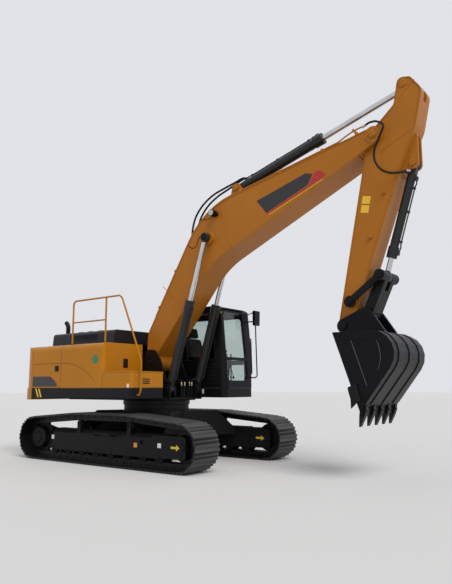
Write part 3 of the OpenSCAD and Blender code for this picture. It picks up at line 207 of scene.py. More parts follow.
def tone_group():
    """Slow drift of a colour over a panel."""
    group, given, out = new_group(
        "tone", [("Vector", "Vector", (0, 0, 0)), ("Colour", "Color", (1, 1, 1, 1)), ("Scale", "Float", 1.0),
                 ("Drift", "Float", 0.1)], [("Colour", "Color")])
    cloud = join(group, "ShaderNodeTexNoise", {"Vector": given.outputs["Vector"],
                                               "Scale": given.outputs["Scale"], "Detail": 5.0})
    swing = join(group, "ShaderNodeMapRange", {"Value": cloud.outputs[0], 1: 0.3, 2: 0.7, 3: -1.0, 4: 1.0})
    depth = join(group, "ShaderNodeMath", {0: swing.outputs[0], 1: given.outputs["Drift"]},
                 operation="MULTIPLY")
    level = join(group, "ShaderNodeMath", {0: depth.outputs[0], 1: 1.0}, operation="ADD")
    hsv = join(group, "ShaderNodeHueSaturation", {"Color": given.outputs["Colour"],
                                                  "Value": level.outputs[0]})
    group.links.new(hsv.outputs[0], out.inputs[0])
    return group


def dust_group():
    """Mask of dust: on faces that look up, and rising from the ground to a height."""
    group, given, out = new_group("dust", [("Vector", "Vector", (0, 0, 0)), ("Amount", "Float", 0.3),
                                           ("Height", "Float", 1.0)], [("Mask", "Float")])
    normal = join(group, "ShaderNodeNewGeometry").outputs["Normal"]
    facing = join(group, "ShaderNodeSeparateXYZ", {0: normal})
    place = join(group, "ShaderNodeSeparateXYZ", {0: given.outputs["Vector"]})
    upward = join(group, "ShaderNodeMapRange", {"Value": facing.outputs[2], 1: 0.3, 2: 1.0, 3: 0.0, 4: 0.8})
    low = join(group, "ShaderNodeMapRange", {"Value": place.outputs[2], 1: 0.0, 2: given.outputs["Height"],
                                             3: 0.9, 4: 0.0})
    either = join(group, "ShaderNodeMath", {0: upward.outputs[0], 1: low.outputs[0]}, operation="MAXIMUM")
    flakes = join(group, "ShaderNodeTexNoise", {"Vector": given.outputs["Vector"], "Scale": 9.0,
                                                "Detail": 8.0, "Roughness": 0.65})
    patchy = join(group, "ShaderNodeMapRange", {"Value": flakes.outputs[0],
                                                1: 0.35, 2: 0.7, 3: 0.25, 4: 1.0})
    mask = join(group, "ShaderNodeMath", {0: either.outputs[0], 1: patchy.outputs[0]}, operation="MULTIPLY")
    mask = join(group, "ShaderNodeMath", {0: mask.outputs[0], 1: given.outputs["Amount"]},
                operation="MULTIPLY", use_clamp=True)
    group.links.new(mask.outputs[0], out.inputs[0])
    return group


def wear_group():
    """Mask of rubbed and chipped places."""
    group, given, out = new_group("wear", [("Vector", "Vector", (0, 0, 0)), ("Scale", "Float", 8.0),
                                           ("Amount", "Float", 0.2)], [("Mask", "Float")])
    chips = join(group, "ShaderNodeTexNoise", {"Vector": given.outputs["Vector"],
                                               "Scale": given.outputs["Scale"], "Detail": 10.0,
                                               "Roughness": 0.75})
    start = join(group, "ShaderNodeMath", {0: 0.78, 1: given.outputs["Amount"]}, operation="SUBTRACT")
    end = join(group, "ShaderNodeMath", {0: start.outputs[0], 1: 0.08}, operation="ADD")
    mask = join(group, "ShaderNodeMapRange", {"Value": chips.outputs[0], 1: start.outputs[0],
                                              2: end.outputs[0], 3: 0.0, 4: 1.0})
    group.links.new(mask.outputs[0], out.inputs[0])
    return group


def skin_group():
    """Fine unevenness of a sprayed or cast surface over edges that are eased, as a normal."""
    group, given, out = new_group("skin", [("Vector", "Vector", (0, 0, 0)), ("Scale", "Float", 90.0),
                                           ("Depth", "Float", 0.001), ("Edge", "Float", 0.004)],
                                  [("Normal", "Vector")])
    eased = join(group, "ShaderNodeBevel", {"Radius": given.outputs["Edge"]}, samples=6)
    fine = join(group, "ShaderNodeTexNoise", {"Vector": given.outputs["Vector"],
                                              "Scale": given.outputs["Scale"], "Detail": 4.0})
    bump = join(group, "ShaderNodeBump", {"Height": fine.outputs[0], "Distance": given.outputs["Depth"],
                                          "Strength": 0.6, "Normal": eased.outputs[0]})
    group.links.new(bump.outputs[0], out.inputs[0])
    return group


tone, dust, wear, skin = tone_group(), dust_group(), wear_group(), skin_group()
print("node groups:", [g.name for g in (tone, dust, wear, skin)])

# %% [markdown]
# ## The materials
# Orange enamel for house, boom and arm, black paint for frames, cylinders and bucket, worn steel for
# the track, hard chrome for the rods. One function makes all of them, because they differ only in
# colour, gloss and how worn they are. What is the same all over a surface is set on the shader itself.

# %% Paint, steel and plastic
def new_material(name):
    """Material with its tree, its shader and the place of each point on the piece."""
    material = bpy.data.materials.new(name)
    material.use_nodes = True
    tree = material.node_tree
    return material, tree, tree.nodes["Principled BSDF"], join(tree, "ShaderNodeTexCoord").outputs["Object"]


def place_group(tree, group, values):
    return join(tree, "ShaderNodeGroup", values, node_tree=group).outputs[0]


def coated(name, colour, rough, metal=0.0, coat=0.0, drift=0.07, tone_scale=1.2, dusty=0.35, dust_to=1.1,
           dust_colour=(0.30, 0.25, 0.19, 1), worn=0.0, wear_scale=14.0, under=(0.16, 0.12, 0.10, 1),
           skin_scale=140.0, skin_depth=0.0006, edge=0.005, polish=None, specular=0.5):
    material, tree, shader, vector = new_material(name)
    base = place_group(tree, tone, {"Vector": vector, "Colour": (*colour, 1), "Scale": tone_scale,
                                    "Drift": drift})
    rough_now = rough
    if worn:
        rubbed = place_group(tree, wear, {"Vector": vector, "Scale": wear_scale, "Amount": worn})
        base = blend_colour(tree, rubbed, base, under)
        rough_now = blend_value(tree, rubbed, rough, min(0.9, rough + 0.2))
    settled = place_group(tree, dust, {"Vector": vector, "Amount": dusty, "Height": dust_to})
    base = blend_colour(tree, settled, base, dust_colour)
    shader.inputs["Metallic"].default_value = metal
    if polish:
        # Outer edges that the ground rubs bright stand out as the most pointed places of the mesh
        sharp = join(tree, "ShaderNodeNewGeometry").outputs["Pointiness"]
        rubbed = join(tree, "ShaderNodeMapRange", {"Value": sharp, 1: 0.58, 2: 0.72, 3: 0.0, 4: 0.8})
        rubbed = rubbed.outputs[0]
        base = blend_colour(tree, rubbed, base, polish)
        rough_now = blend_value(tree, rubbed, rough, 0.25)
        tree.links.new(blend_value(tree, rubbed, metal, 0.8), shader.inputs["Metallic"])
    tree.links.new(base, shader.inputs["Base Color"])
    tree.links.new(blend_value(tree, settled, rough_now, 0.85), shader.inputs["Roughness"])
    tree.links.new(place_group(tree, skin, {"Vector": vector, "Scale": skin_scale, "Depth": skin_depth,
                                            "Edge": edge}), shader.inputs["Normal"])
    shader.inputs["Coat Weight"].default_value = coat
    shader.inputs["Coat Roughness"].default_value = 0.12
    shader.inputs["Specular IOR Level"].default_value = specular
    return material


amber_dust = (0.30, 0.17, 0.07, 1)
orange = coated("orange_enamel", (0.47, 0.176, 0.004), 0.30, coat=0.12, drift=0.05, dusty=0.08, dust_to=1.6,
                dust_colour=amber_dust, edge=0.035, specular=0.16)
arm_orange = coated("orange_enamel_of_boom_and_arm", (0.42, 0.148, 0.012), 0.34, coat=0.10, drift=0.06,
                    dusty=0.10, dust_to=0.5, dust_colour=amber_dust, worn=0.04, wear_scale=5.0,
                    under=(0.34, 0.12, 0.004, 1), edge=0.010, specular=0.16)
soil = (0.085, 0.066, 0.048, 1)
dark_soil = (0.030, 0.024, 0.020, 1)
ram_black = coated("cylinder_black_paint", (0.014, 0.014, 0.015), 0.34, dusty=0.12, dust_to=0.9,
                   dust_colour=soil, specular=0.35)
satin_black = coated("satin_black_paint", (0.0055, 0.0055, 0.0070), 0.40, dusty=0.12, dust_to=0.9,
                     dust_colour=soil, edge=0.008, specular=0.16)
chassis_black = coated("chassis_black_paint", (0.0055, 0.0055, 0.0060), 0.5, drift=0.15, dusty=0.26,
                       dust_to=0.9, dust_colour=dark_soil, worn=0.06, wear_scale=9.0,
                       under=(0.020, 0.016, 0.013, 1), edge=0.008, specular=0.16)
hood_black = coated("hood_black_shell", (0.013, 0.013, 0.017), 0.34, dusty=0.12, dust_to=0.9,
                    dust_colour=soil, edge=0.035, specular=0.28)
bucket_black = coated("bucket_black_paint", (0.0055, 0.0055, 0.0080), 0.33, drift=0.2, dusty=0.18,
                      dust_to=0.7, dust_colour=soil, worn=0.08, wear_scale=6.0,
                      under=(0.030, 0.022, 0.017, 1), edge=0.008, specular=0.12)
shoe_steel = coated("track_shoe_steel", (0.006, 0.0055, 0.0055), 0.36, metal=0.1, drift=0.3, tone_scale=7.0,
                    dusty=0.20, dust_to=1.0, dust_colour=dark_soil, worn=0.10, wear_scale=11.0,
                    under=(0.030, 0.025, 0.021, 1), skin_scale=60.0, skin_depth=0.002,
                    polish=(0.32, 0.31, 0.30, 1), specular=0.22)
cast_steel = coated("cast_steel", (0.014, 0.0135, 0.013), 0.5, metal=0.3, drift=0.2, dusty=0.25, worn=0.12,
                    dust_colour=dark_soil, under=(0.05, 0.042, 0.034, 1), skin_scale=70.0,
                    skin_depth=0.0015, specular=0.25)
tooth_steel = coated("tooth_steel", (0.008, 0.0078, 0.008), 0.42, metal=0.2, drift=0.25, dusty=0.2,
                     dust_to=0.8, dust_colour=soil, worn=0.13, wear_scale=18.0,
                     under=(0.045, 0.036, 0.030, 1), specular=0.25)
zinc = coated("zinc_plating", (0.52, 0.50, 0.44), 0.32, metal=0.9, dusty=0.1, worn=0.05)
brass_zinc = coated("yellow_zinc_plating", (0.70, 0.60, 0.36), 0.35, metal=0.7, dusty=0.1)
plastic = coated("black_plastic", (0.008, 0.008, 0.009), 0.55, dusty=0.12, dust_to=0.1, dust_colour=soil,
                 skin_scale=400.0, skin_depth=0.0004, specular=0.2)
rubber = coated("hose_rubber", (0.006, 0.006, 0.007), 0.5, dusty=0.18, dust_to=0.6, dust_colour=soil,
                skin_scale=500.0, skin_depth=0.0004, specular=0.2)
white_label = coated("white_label_film", (0.78, 0.78, 0.76), 0.4, dusty=0.15, drift=0.03)
yellow_label = coated("yellow_label_film", (0.84, 0.52, 0.03), 0.4, dusty=0.15, drift=0.04)
orange_label = coated("orange_label_film", (0.80, 0.30, 0.03), 0.4, dusty=0.15, drift=0.04)
# Grey of edges rubbed bare on the bucket's side ridges; on the cab's foot strip the same grey is a painted
# highlight along the cab's lower edge.
wear_and_highlight_grey = coated("grey_of_wear_and_painted_highlight", (0.075, 0.075, 0.080), 0.4, metal=0.3, dusty=0.2, dust_colour=soil)
green_label = coated("green_label_film", (0.030, 0.20, 0.075), 0.4, dusty=0.15, drift=0.04)
band_black = coated("black_band_film", (0.009, 0.009, 0.011), 0.35, coat=0.2, dusty=0.12, dust_to=0.1)
band_red = coated("red_band_film", (0.45, 0.010, 0.014), 0.35, coat=0.2, dusty=0.12, dust_to=0.1)
red_lens = coated("red_reflector", (0.45, 0.01, 0.01), 0.2, coat=0.6, dusty=0.2, dust_to=0.2)
print("finishes:", len(bpy.data.materials))

# %% [markdown]
# ## Chrome rods with black eyes
# Rod and eye are one piece of steel, but only the rod is polished: the eye at its end is painted. The
# distance from the middle of the eye tells the two apart, so no second mesh is needed.

# %% Rod material
def rod_finish(name, eye):
    material, tree, shader, vector = new_material(name)
    flat = join(tree, "ShaderNodeVectorMath", {0: vector, 1: (1, 0, 1)}, operation="MULTIPLY")
    reach = join(tree, "ShaderNodeVectorMath", {0: flat.outputs[0], 1: (eye.x, 0, eye.z)},
                 operation="DISTANCE")
    is_rod = join(tree, "ShaderNodeMapRange", {"Value": reach.outputs["Value"], 1: 0.099, 2: 0.101})
    streaks = place_group(tree, tone, {"Vector": vector, "Colour": (0.62, 0.63, 0.65, 1), "Scale": 5.0,
                                       "Drift": 0.12})
    tree.links.new(blend_colour(tree, is_rod.outputs[0], (0.020, 0.020, 0.022, 1), streaks),
                   shader.inputs["Base Color"])
    tree.links.new(blend_value(tree, is_rod.outputs[0], 0.5, 0.16), shader.inputs["Roughness"])
    tree.links.new(is_rod.outputs[0], shader.inputs["Metallic"])
    tree.links.new(place_group(tree, skin, {"Vector": vector, "Scale": 300.0, "Depth": 0.0002}),
                   shader.inputs["Normal"])
    return material


boom_eye = boom_frame @ Vector((2.428, 0, 0.976))
arm_eye = arm_frame @ Vector((-0.812, 0, 0.320))
bucket_eye = pin["bucket_link_turn"]
print("rod eyes:", [tuple(round(c, 3) for c in p) for p in (boom_eye, arm_eye, bucket_eye)])

# %% [markdown]
# ## Glass
# Cab glass is tinted a little green, and it reflects the pale sky at a low angle. A thin film of dust
# sits in its corners. The panes are real solids, so plain transmission with the index of glass is
# enough, and the reflections come by themselves.

# %% Glass and lenses
def clear(name, colour, rough, dusty):
    material, tree, shader, vector = new_material(name)
    film = place_group(tree, wear, {"Vector": vector, "Scale": 3.0, "Amount": dusty})
    tree.links.new(blend_colour(tree, film, (*colour, 1), (0.6, 0.62, 0.6, 1)), shader.inputs["Base Color"])
    tree.links.new(blend_value(tree, film, rough, rough + 0.12), shader.inputs["Roughness"])
    shader.inputs["Transmission Weight"].default_value = 1.0
    shader.inputs["IOR"].default_value = 1.45
    return material


cab_pane = clear("cab_glass_tinted", (0.70, 0.76, 0.74), 0.01, 0.12)
mirror_face = coated("mirror_face", (0.8, 0.82, 0.84), 0.04, metal=1.0, dusty=0.05, skin_depth=0.00005)

# %% [markdown]
# ## Give every solid its finish
# The table says which finish each solid of the model wears. The rods of boom, arm and bucket each need
# their own material, because each eye is in another place.

# %% Dress the solids
wears = {
    orange: "counterweight fuel_tank tool_box tool_box_lid house_walls pump_door radiator_door "
            "filter_door lifting_eyes handrail",
    arm_orange: "boom boom_pipes arm",
    satin_black: "upper_frame cab_shell cab_rear_wall cab_door mirror work_lamp side_links h_link exhaust",
    ram_black: "boom_cylinders arm_cylinder bucket_cylinder",
    chassis_black: "carbody track_frame_left track_frame_right idlers final_drives track_rollers",
    hood_black: "top_covers engine_hood",
    bucket_black: "bucket",
    tooth_steel: "bucket_teeth",
    shoe_steel: "track_left track_right",
    cast_steel: "sprockets slew_ring engine",
    plastic: "cab_controls seat",
    cab_pane: "cab_glass cab_door_glass",
    rod_finish("boom_rod_chrome", boom_eye): "boom_rods",
    rod_finish("arm_rod_chrome", arm_eye): "arm_rod",
    rod_finish("bucket_rod_chrome", bucket_eye): "bucket_rod",
}
for material, names in wears.items():
    for name in names.split():
        solid = frame["nodes"][name]
        if not solid.material_slots:
            solid.data.materials.append(material)
        for slot in solid.material_slots:
            slot.material = material
bare = set(frame["nodes"]) - {n for names in wears.values() for n in names.split()}
print("solids without a finish:", sorted(bare))

# %% [markdown]
# ## Small tools for making pieces
# Fittings on a machine are blocks, turned parts, plates cut from sheet and bent tubes. Each of the
# helpers below adds one such shape to a mesh that is being built, so a piece such as a latch can be
# made of several. Edges get a small bevel, because a real edge always catches a line of light.

# %% Helpers for blocks, turned parts, plates and tubes
def soften(bm, edges, width, segments=2):
    bmesh.ops.bevel(bm, geom=edges, offset=width, offset_type="OFFSET", segments=segments, profile=0.5,
                    affect="EDGES", clamp_overlap=True, material=-1)


def add_block(bm, low, high, edge=0.0, place=None):
    """Block between two corners, with its edges eased."""
    low, high = Vector(low), Vector(high)
    made = bmesh.ops.create_cube(bm, size=1.0)["verts"]
    bmesh.ops.scale(bm, verts=made, vec=high - low)
    bmesh.ops.translate(bm, verts=made, vec=(low + high) / 2)
    if place is not None:
        bmesh.ops.transform(bm, matrix=place, verts=made)
    if edge:
        soften(bm, list({e for v in made for e in v.link_edges}), edge)


def add_turned(bm, middle, axis, radius, length, sides=24, tip=None, edge=0.0, place=None):
    """Round bar or cone about an axis, with its rims eased."""
    made = bmesh.ops.create_cone(bm, cap_ends=True, segments=sides, radius1=radius,
                                 radius2=radius if tip is None else tip, depth=length)["verts"]
    turn = Vector((0, 0, 1)).rotation_difference(Vector(axis).normalized()).to_matrix().to_4x4()
    bmesh.ops.transform(bm, matrix=(place or Matrix()) @ Matrix.Translation(middle) @ turn, verts=made)
    if edge:
        rims = [e for e in {e for v in made for e in v.link_edges}
                if any(len(f.verts) > 4 for f in e.link_faces)]
        soften(bm, rims, edge)


def add_ring(bm, x, inner, outer, length, sides=36, place=None):
    """Band round a bar that lies along the first axis, centred at x, with a hole through it."""
    loops = []
    for k in range(sides):
        angle = math.tau * k / sides
        corners = ((-0.5, inner), (0.5, inner), (0.5, outer), (-0.5, outer))
        loops.append([bm.verts.new((x + end * length, math.cos(angle) * r, math.sin(angle) * r))
                      for end, r in corners])
    for a, b in zip(loops, loops[1:] + loops[:1]):
        for i in range(4):
            bm.faces.new((a[i], b[i], b[(i + 1) % 4], a[(i + 1) % 4]))
    if place is not None:
        bmesh.ops.transform(bm, matrix=place, verts=[v for loop in loops for v in loop])


def add_plate(bm, outline, start, thick, edge=0.0, place=None):
    """Sheet cut to an [along, above] outline, from y = start, thick across."""
    corners = [bm.verts.new((x, start, z)) for x, z in outline]
    face = bm.faces.new(corners)
    grown = bmesh.ops.extrude_face_region(bm, geom=[face])["geom"]
    pushed = [g for g in grown if isinstance(g, bmesh.types.BMVert)]
    bmesh.ops.translate(bm, verts=pushed, vec=(0, thick, 0))
    if place is not None:
        bmesh.ops.transform(bm, matrix=place, verts=corners + pushed)
    if edge:
        soften(bm, list({e for v in corners + pushed for e in v.link_edges}), edge)


def smooth_line(points, steps=8):
    """Dense points on a smooth curve through a few chosen ones."""
    points = [Vector(p) for p in points]
    ends = [points[0] * 2 - points[1]] + points + [points[-1] * 2 - points[-2]]
    line = []
    for a, b, c, d in zip(ends, ends[1:], ends[2:], ends[3:]):
        for k in range(steps):
            t = k / steps
            line.append(0.5 * (2 * b + (c - a) * t + (2 * a - 5 * b + 4 * c - d) * t * t
                               + (3 * b - a - 3 * c + d) * t ** 3))
    return line + [points[-1]]


def tube_mesh(name, line, radius, sides=12):
    """Mesh of a round tube along a line of points, closed at its ends."""
    curve = bpy.data.curves.new(name, "CURVE")
    curve.dimensions = "3D"
    curve.bevel_depth = radius
    curve.bevel_resolution = (sides - 4) // 4
    curve.use_fill_caps = True
    spline = curve.splines.new("POLY")
    spline.points.add(len(line) - 1)
    for point, co in zip(spline.points, line):
        point.co = (*co, 1)
    spline.use_smooth = True
    holder = bpy.data.objects.new(name, curve)
    bpy.context.scene.collection.objects.link(holder)
    view = bpy.context.evaluated_depsgraph_get()
    mesh = bpy.data.meshes.new_from_object(holder.evaluated_get(view))
    mesh.name = name
    bpy.data.objects.remove(holder)
    bpy.data.curves.remove(curve)
    return mesh


def add_tube(bm, points, radius, sides=12, place=None, steps=0):
    """Round bar through points, on a smooth curve if steps are given for each stretch of it."""
    line = [(place or Matrix()) @ Vector(p) for p in points]
    mesh = tube_mesh("tube", smooth_line(line, steps) if steps else line, radius, sides)
    bm.from_mesh(mesh)
    bpy.data.meshes.remove(mesh)


# The slot that each finish belongs to, unless a piece says otherwise
slot_of = {
    **dict.fromkeys((orange, arm_orange, white_label, yellow_label, orange_label, green_label), "paint"),
    **dict.fromkeys((ram_black, satin_black, chassis_black, band_black, band_red, wear_and_highlight_grey),
                    "black_paint"),
    **dict.fromkeys((plastic, rubber, red_lens), "black_plastic"),
    **dict.fromkeys((cast_steel, tooth_steel, zinc, brass_zinc), "steel"),
    mirror_face: "glass",
}


def finish_piece(bm, name, body, material, sharp=38):
    """Turns a built shape into a piece that moves with a body."""
    bmesh.ops.recalc_face_normals(bm, faces=bm.faces[:])
    for face in bm.faces:
        face.smooth = True
    for rim in bm.edges:
        if len(rim.link_faces) == 2 and rim.calc_face_angle(0) > math.radians(sharp):
            rim.smooth = False
    mesh = bpy.data.meshes.new(name)
    bm.to_mesh(mesh)
    bm.free()
    mesh.materials.append(material)
    piece = bpy.data.objects.new(name, mesh)
    bpy.context.scene.collection.objects.link(piece)
    if body:
        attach(piece, body)
    return piece


def block_piece(name, body, material, *blocks, place=house):
    """Piece made of blocks, each given as its low corner, its high corner and its edge."""
    bm = bmesh.new()
    for low, high, edge in blocks:
        add_block(bm, low, high, edge, place)
    return finish_piece(bm, name, body, material)


print("helpers ready")

# %% [markdown]
# ## Band on the boom
# Such machines wear a long slanted band on each side of the boom. It is a film 1 mm thick: a black
# field with a red tail and a thin line below. It is left without words. Plates cut to an outline are
# enough, laid on the boom's web and turned with the boom's own frame.

# %% Band
def boom_film(name, material, outline):
    """Film of one outline on both sides of the boom."""
    bm = bmesh.new()
    for side in (-1, 1):
        add_plate(bm, outline, side * (boom_web + 0.0002), side * 0.0012, place=boom_frame)
    return finish_piece(bm, name, "boom_body", material)


boom_film("boom_band_black", band_black, [(3.577, 0.762), (4.540, 0.410), (4.620, 0.300), (4.440, 0.222),
                                          (3.590, 0.440)])
boom_film("boom_band_red", band_red, [(4.665, 0.300), (4.735, 0.262), (4.785, 0.120), (4.700, 0.105),
                                      (3.600, 0.400), (3.594, 0.430), (4.450, 0.205)])
boom_film("boom_band_line", yellow_label, [(3.602, 0.388), (4.690, 0.097), (4.690, 0.085), (3.604, 0.374)])

# %% [markdown]
# ## Seams and beads on boom and arm
# Boom and arm are welded from plates. Where two side plates meet there is a bead of weld. A thin bar
# sunk half into the plate gives the bead its round back.

# %% Weld beads
bm = bmesh.new()
for side in (-1, 1):
    for line in (((2.995, 1.335), (2.700, 0.480)), ((1.05, 1.02), (1.22, 0.30))):
        add_tube(bm, [(u, side * boom_web, v) for u, v in line], 0.006, 8, boom_frame)
finish_piece(bm, "boom_weld_beads", "boom_body", arm_orange)
bm = bmesh.new()
for side in (-1, 1):
    for line in (((0.258, 0.136), (0.102, 0.338), (-0.053, 0.540)),
                 ((-0.545, 0.287), (-0.700, 0.394), (-0.850, 0.497))):
        add_tube(bm, [(u, side * arm_web, v) for u, v in line], 0.006, 8, arm_frame, 8)
finish_piece(bm, "arm_weld_beads", "arm_body", arm_orange)
print("weld beads made")

# %% [markdown]
# ## Labels and arrows
# Labels are thin films, each a small plate one or two millimetres thick. Here they stay blank. An arrow
# shows which way the track frame points, and it is cut from the same film, as are the stripes and
# shapes on the house.

# %% Labels
def label(name, body, low, high, side_y, material, place=house):
    """Film on a face across y, between two corners."""
    return block_piece(name, body, material, (
        (low[0], side_y - 0.001, low[1]), (high[0], side_y + 0.001, high[1]), 0), place=place)


arm_film_y, wall_film_y, track_film_y = -arm_web - 0.001, -wall_y - 0.0005, -track_y - 0.151
label("arm_label_upper", "arm_body", (0.948, -0.044), (1.070, 0.092), arm_film_y, yellow_label, arm_frame)
label("arm_label_lower", "arm_body", (1.092, -0.040), (1.210, 0.092), arm_film_y, yellow_label, arm_frame)
label("arm_label_left", "arm_body", (0.948, -0.044), (1.070, 0.092), -arm_film_y, yellow_label, arm_frame)
label("tool_box_label", "house", (0.580, 1.328), (0.636, 1.393), wall_film_y, white_label)
label("frame_label_rear", "chassis", (-1.430, 0.380), (-1.355, 0.455), track_film_y, white_label)
label("frame_label_front", "chassis", (1.320, 0.365), (1.400, 0.440), track_film_y, white_label)
label("frame_label_grease", "chassis", (0.775, 0.345), (0.855, 0.420), track_film_y, orange_label)
label("cab_frame_label", "house", (0.634, 1.213), (0.782, 1.298), cab_y - 0.0005, white_label)
arrow = [(-0.095, -0.018), (0.020, -0.018), (0.020, -0.050), (0.095, 0.0), (0.020, 0.050), (0.020, 0.018),
         (-0.095, 0.018)]
bm = bmesh.new()
for side in (-1, 1):
    for face in (-1, 1):
        place = house @ Matrix.Translation((1.705, side * track_y + face * 0.1505, 0.385))
        add_plate(bm, arrow, -0.001, 0.002, place=place)
finish_piece(bm, "track_frame_arrows", "chassis", yellow_label)
stripe = [(0, 1.312), (0.042, 1.312), (0.122, 1.148), (0.080, 1.148)]
bm = bmesh.new()
for side in (-1, 1):
    for start in (-2.012, -1.918):
        add_plate(bm, [(start + x, z) for x, z in stripe], side * -wall_film_y - 0.001, 0.002, place=house)
finish_piece(bm, "skirt_stripes", "house", yellow_label)
bm = bmesh.new()
add_turned(bm, (-0.255, -1.3452, 1.835), (0, 1, 0), 0.082, 0.002, 32, place=house)
finish_piece(bm, "tank_round_film", "house", green_label)
bm = bmesh.new()
add_plate(bm, [(-2.105, 1.545), (-1.545, 1.545), (-1.395, 1.450), (-1.330, 1.350), (-2.105, 1.350)],
          -1.3445, -0.0015, place=house)
finish_piece(bm, "rear_panel_film", "pump_side_door", band_black)
bm = bmesh.new()
add_plate(bm, [(-1.530, 1.545), (-1.455, 1.500), (-1.365, 1.452), (-1.275, 1.350), (-1.316, 1.350),
               (-1.381, 1.452)], -1.3445, -0.0015, place=house)
finish_piece(bm, "rear_panel_film_tail", "pump_side_door", band_red)
bm = bmesh.new()
add_turned(bm, (1.200, 0.489, 2.760), (0, 1, 0), 0.020, 0.003, 20, place=house)
finish_piece(bm, "cab_corner_sticker", "house", yellow_label)
print("labels made")

# %% [markdown]
# ## Creases, latches and louvres of the house
# A long crease stiffens the side panels and ends in a quarter arc. On the real doors it is pressed in;
# a low round bead reads the same from a step away, and it is cut at each joint so the doors open freely.
# Latches are black paddles in a frame, and the cooler's door has rows of louvres.

# %% Creases
def crease(name, body, points, side):
    bm = bmesh.new()
    add_tube(bm, [(x, side * wall_y, z) for x, z in points], 0.0067, 8, house, 8)
    return finish_piece(bm, name, body, orange)


for side, mark, doors in ((-1, "right", ("pump_side_door", "house")),
                          (1, "left", ("radiator_side_door", "filter_side_door"))):
    crease(f"crease_door_{mark}", doors[0], [(-2.112, 1.792), (-1.70, 1.791), (-1.254, 1.790)], side)
    end = [(-1.218, 1.790), (-1.08, 1.786), (-0.90, 1.765), (-0.66, 1.696), (-0.44, 1.590), (-0.255, 1.450)]
    if side > 0:
        end = [(x * 0.9 - 0.125, z) for x, z in end]
    crease(f"crease_front_{mark}", doors[1], end[:-1] if side > 0 else end, side)

# %% Latches of doors, tank and hood, and the tool box's slots
def latch(name, body, place, wide=0.115, high=0.105):
    """Black paddle latch in a frame, facing -Y of its own place."""
    bm = bmesh.new()
    add_block(bm, (-wide / 2, -0.004, -high / 2), (wide / 2, 0.004, high / 2), 0.002, place)
    add_block(bm, (-wide * 0.36, -0.009, -high * 0.36), (wide * 0.36, -0.001, high * 0.36), 0.002, place)
    add_turned(bm, (0, -0.010, high * 0.12), (0, 1, 0), 0.010, 0.010, 16, edge=0.001, place=place)
    return finish_piece(bm, name, body, plastic)


facing_left = Matrix.Rotation(math.pi, 4, "Z")
facing_front = Matrix.Rotation(math.pi / 2, 4, "Z")
latch_y = wall_y + 0.002
latch("pump_door_latch", "pump_side_door", house @ Matrix.Translation((-1.358, -latch_y, 1.69)))
latch("radiator_door_latch", "radiator_side_door",
      house @ Matrix.Translation((-1.358, latch_y, 1.69)) @ facing_left)
latch("filter_door_latch", "filter_side_door",
      house @ Matrix.Translation((-0.58, latch_y, 1.69)) @ facing_left)
latch("tank_latch", "house", house @ Matrix.Translation((-0.048, -0.795, 1.775)) @ facing_front, 0.115, 0.17)
latch("hood_latch", "hood", house @ Matrix.Translation((-1.1, -0.890, 2.30)), 0.10, 0.05)
# The tool box's vent slots are black blocks on its face: painted shade for the dark inside the openings.
slot_heights = [1.393 + 0.036 * k for k in range(3)]
block_piece("tool_box_slot_shade", "house", plastic,
            *[((0.6985, -1.085, z), (0.7035, -0.915, z + 0.018), 0.001) for z in slot_heights])

# %% Louvres of the cooler door, and slots of the hood
bm = bmesh.new()
for row in range(2):
    for k in range(11):
        x = -2.02 + 0.066 * k
        place = house @ Matrix.Translation((x, 1.344, 1.44 + row * 0.17)) @ Matrix.Rotation(0.35, 4, "Z")
        add_block(bm, (-0.020, -0.004, -0.065), (0.020, 0.006, 0.065), 0.002, place)
finish_piece(bm, "cooler_louvres", "radiator_side_door", plastic)
# The hood's vent slots are black strips on its sides: painted shade for the dark inside the slots.
slot_heights = [2.215 + 0.016 * k for k in range(9)]
block_piece("hood_slot_shade", "hood", plastic,
            *[((-1.55, y - 0.004, z), (-0.75, y + 0.004, z + 0.006), 0.001)
              for z in slot_heights for y in (-0.893, 0.893)])
print("creases, latches and louvres made")

# %% [markdown]
# ## Walkways and tank cap
# The walkway beside the hood has a perforated tread plate so that boots grip. The plate is thin, with
# rows of raised round studs; each stud is a low cone with a few sides, because there are hundreds. The
# filler cap is two turned rings with a bar to grip, and red reflectors sit on the counterweight.

# %% Tread plates and caps
bm = bmesh.new()
stud_gap, plate_top = 0.05, walk_z + 0.0035
for rear, right_y, fore, left_y in ((-2.08, -1.19, -0.62, -0.935), (-0.56, -1.24, -0.12, -0.55),
                                    (-2.08, 0.935, -0.66, 1.19)):
    add_block(bm, (rear, right_y, plate_top - 0.003), (fore, left_y, plate_top), 0.001, house)
    for i in range(int((fore - rear) / stud_gap)):
        for k in range(int((left_y - right_y) / stud_gap)):
            spot = (rear + 0.03 + stud_gap * i, right_y + 0.028 + stud_gap * k, plate_top + 0.0015)
            add_turned(bm, spot, (0, 0, 1), 0.013, 0.004, 8, tip=0.009, place=house)
finish_piece(bm, "tread_plates", "house", chassis_black)
bm = bmesh.new()
add_turned(bm, (-0.85, -0.70, 2.160), (0, 0, 1), 0.062, 0.04, 28, edge=0.006, place=house)
add_turned(bm, (-0.85, -0.70, 2.188), (0, 0, 1), 0.048, 0.016, 28, edge=0.004, place=house)
add_block(bm, (-0.90, -0.712, 2.186), (-0.80, -0.688, 2.206), 0.004, house)
finish_piece(bm, "tank_filler_cap", "house", plastic)
bm = bmesh.new()
for side in (-1, 1):
    # The counterweight's rear is round, so each reflector turns with it
    place = house @ Matrix.Translation((-2.531, side * 0.95, 1.43)) @ Matrix.Rotation(-side * 0.357, 4, "Z")
    add_block(bm, (-0.006, -0.07, -0.03), (0.003, 0.07, 0.03), 0.003, place)
finish_piece(bm, "rear_reflectors", "house", red_lens)
print("tread plates and caps made")

# %% [markdown]
# ## Cylinders
# A hydraulic cylinder is more than a barrel: a bolted gland at the rod's end, a steel line that takes
# oil to it along the barrel, straps that hold the line, and port blocks at both ends. The rod slides
# inside, so straps and rings are hollow. One function dresses every cylinder, from its base pin on.

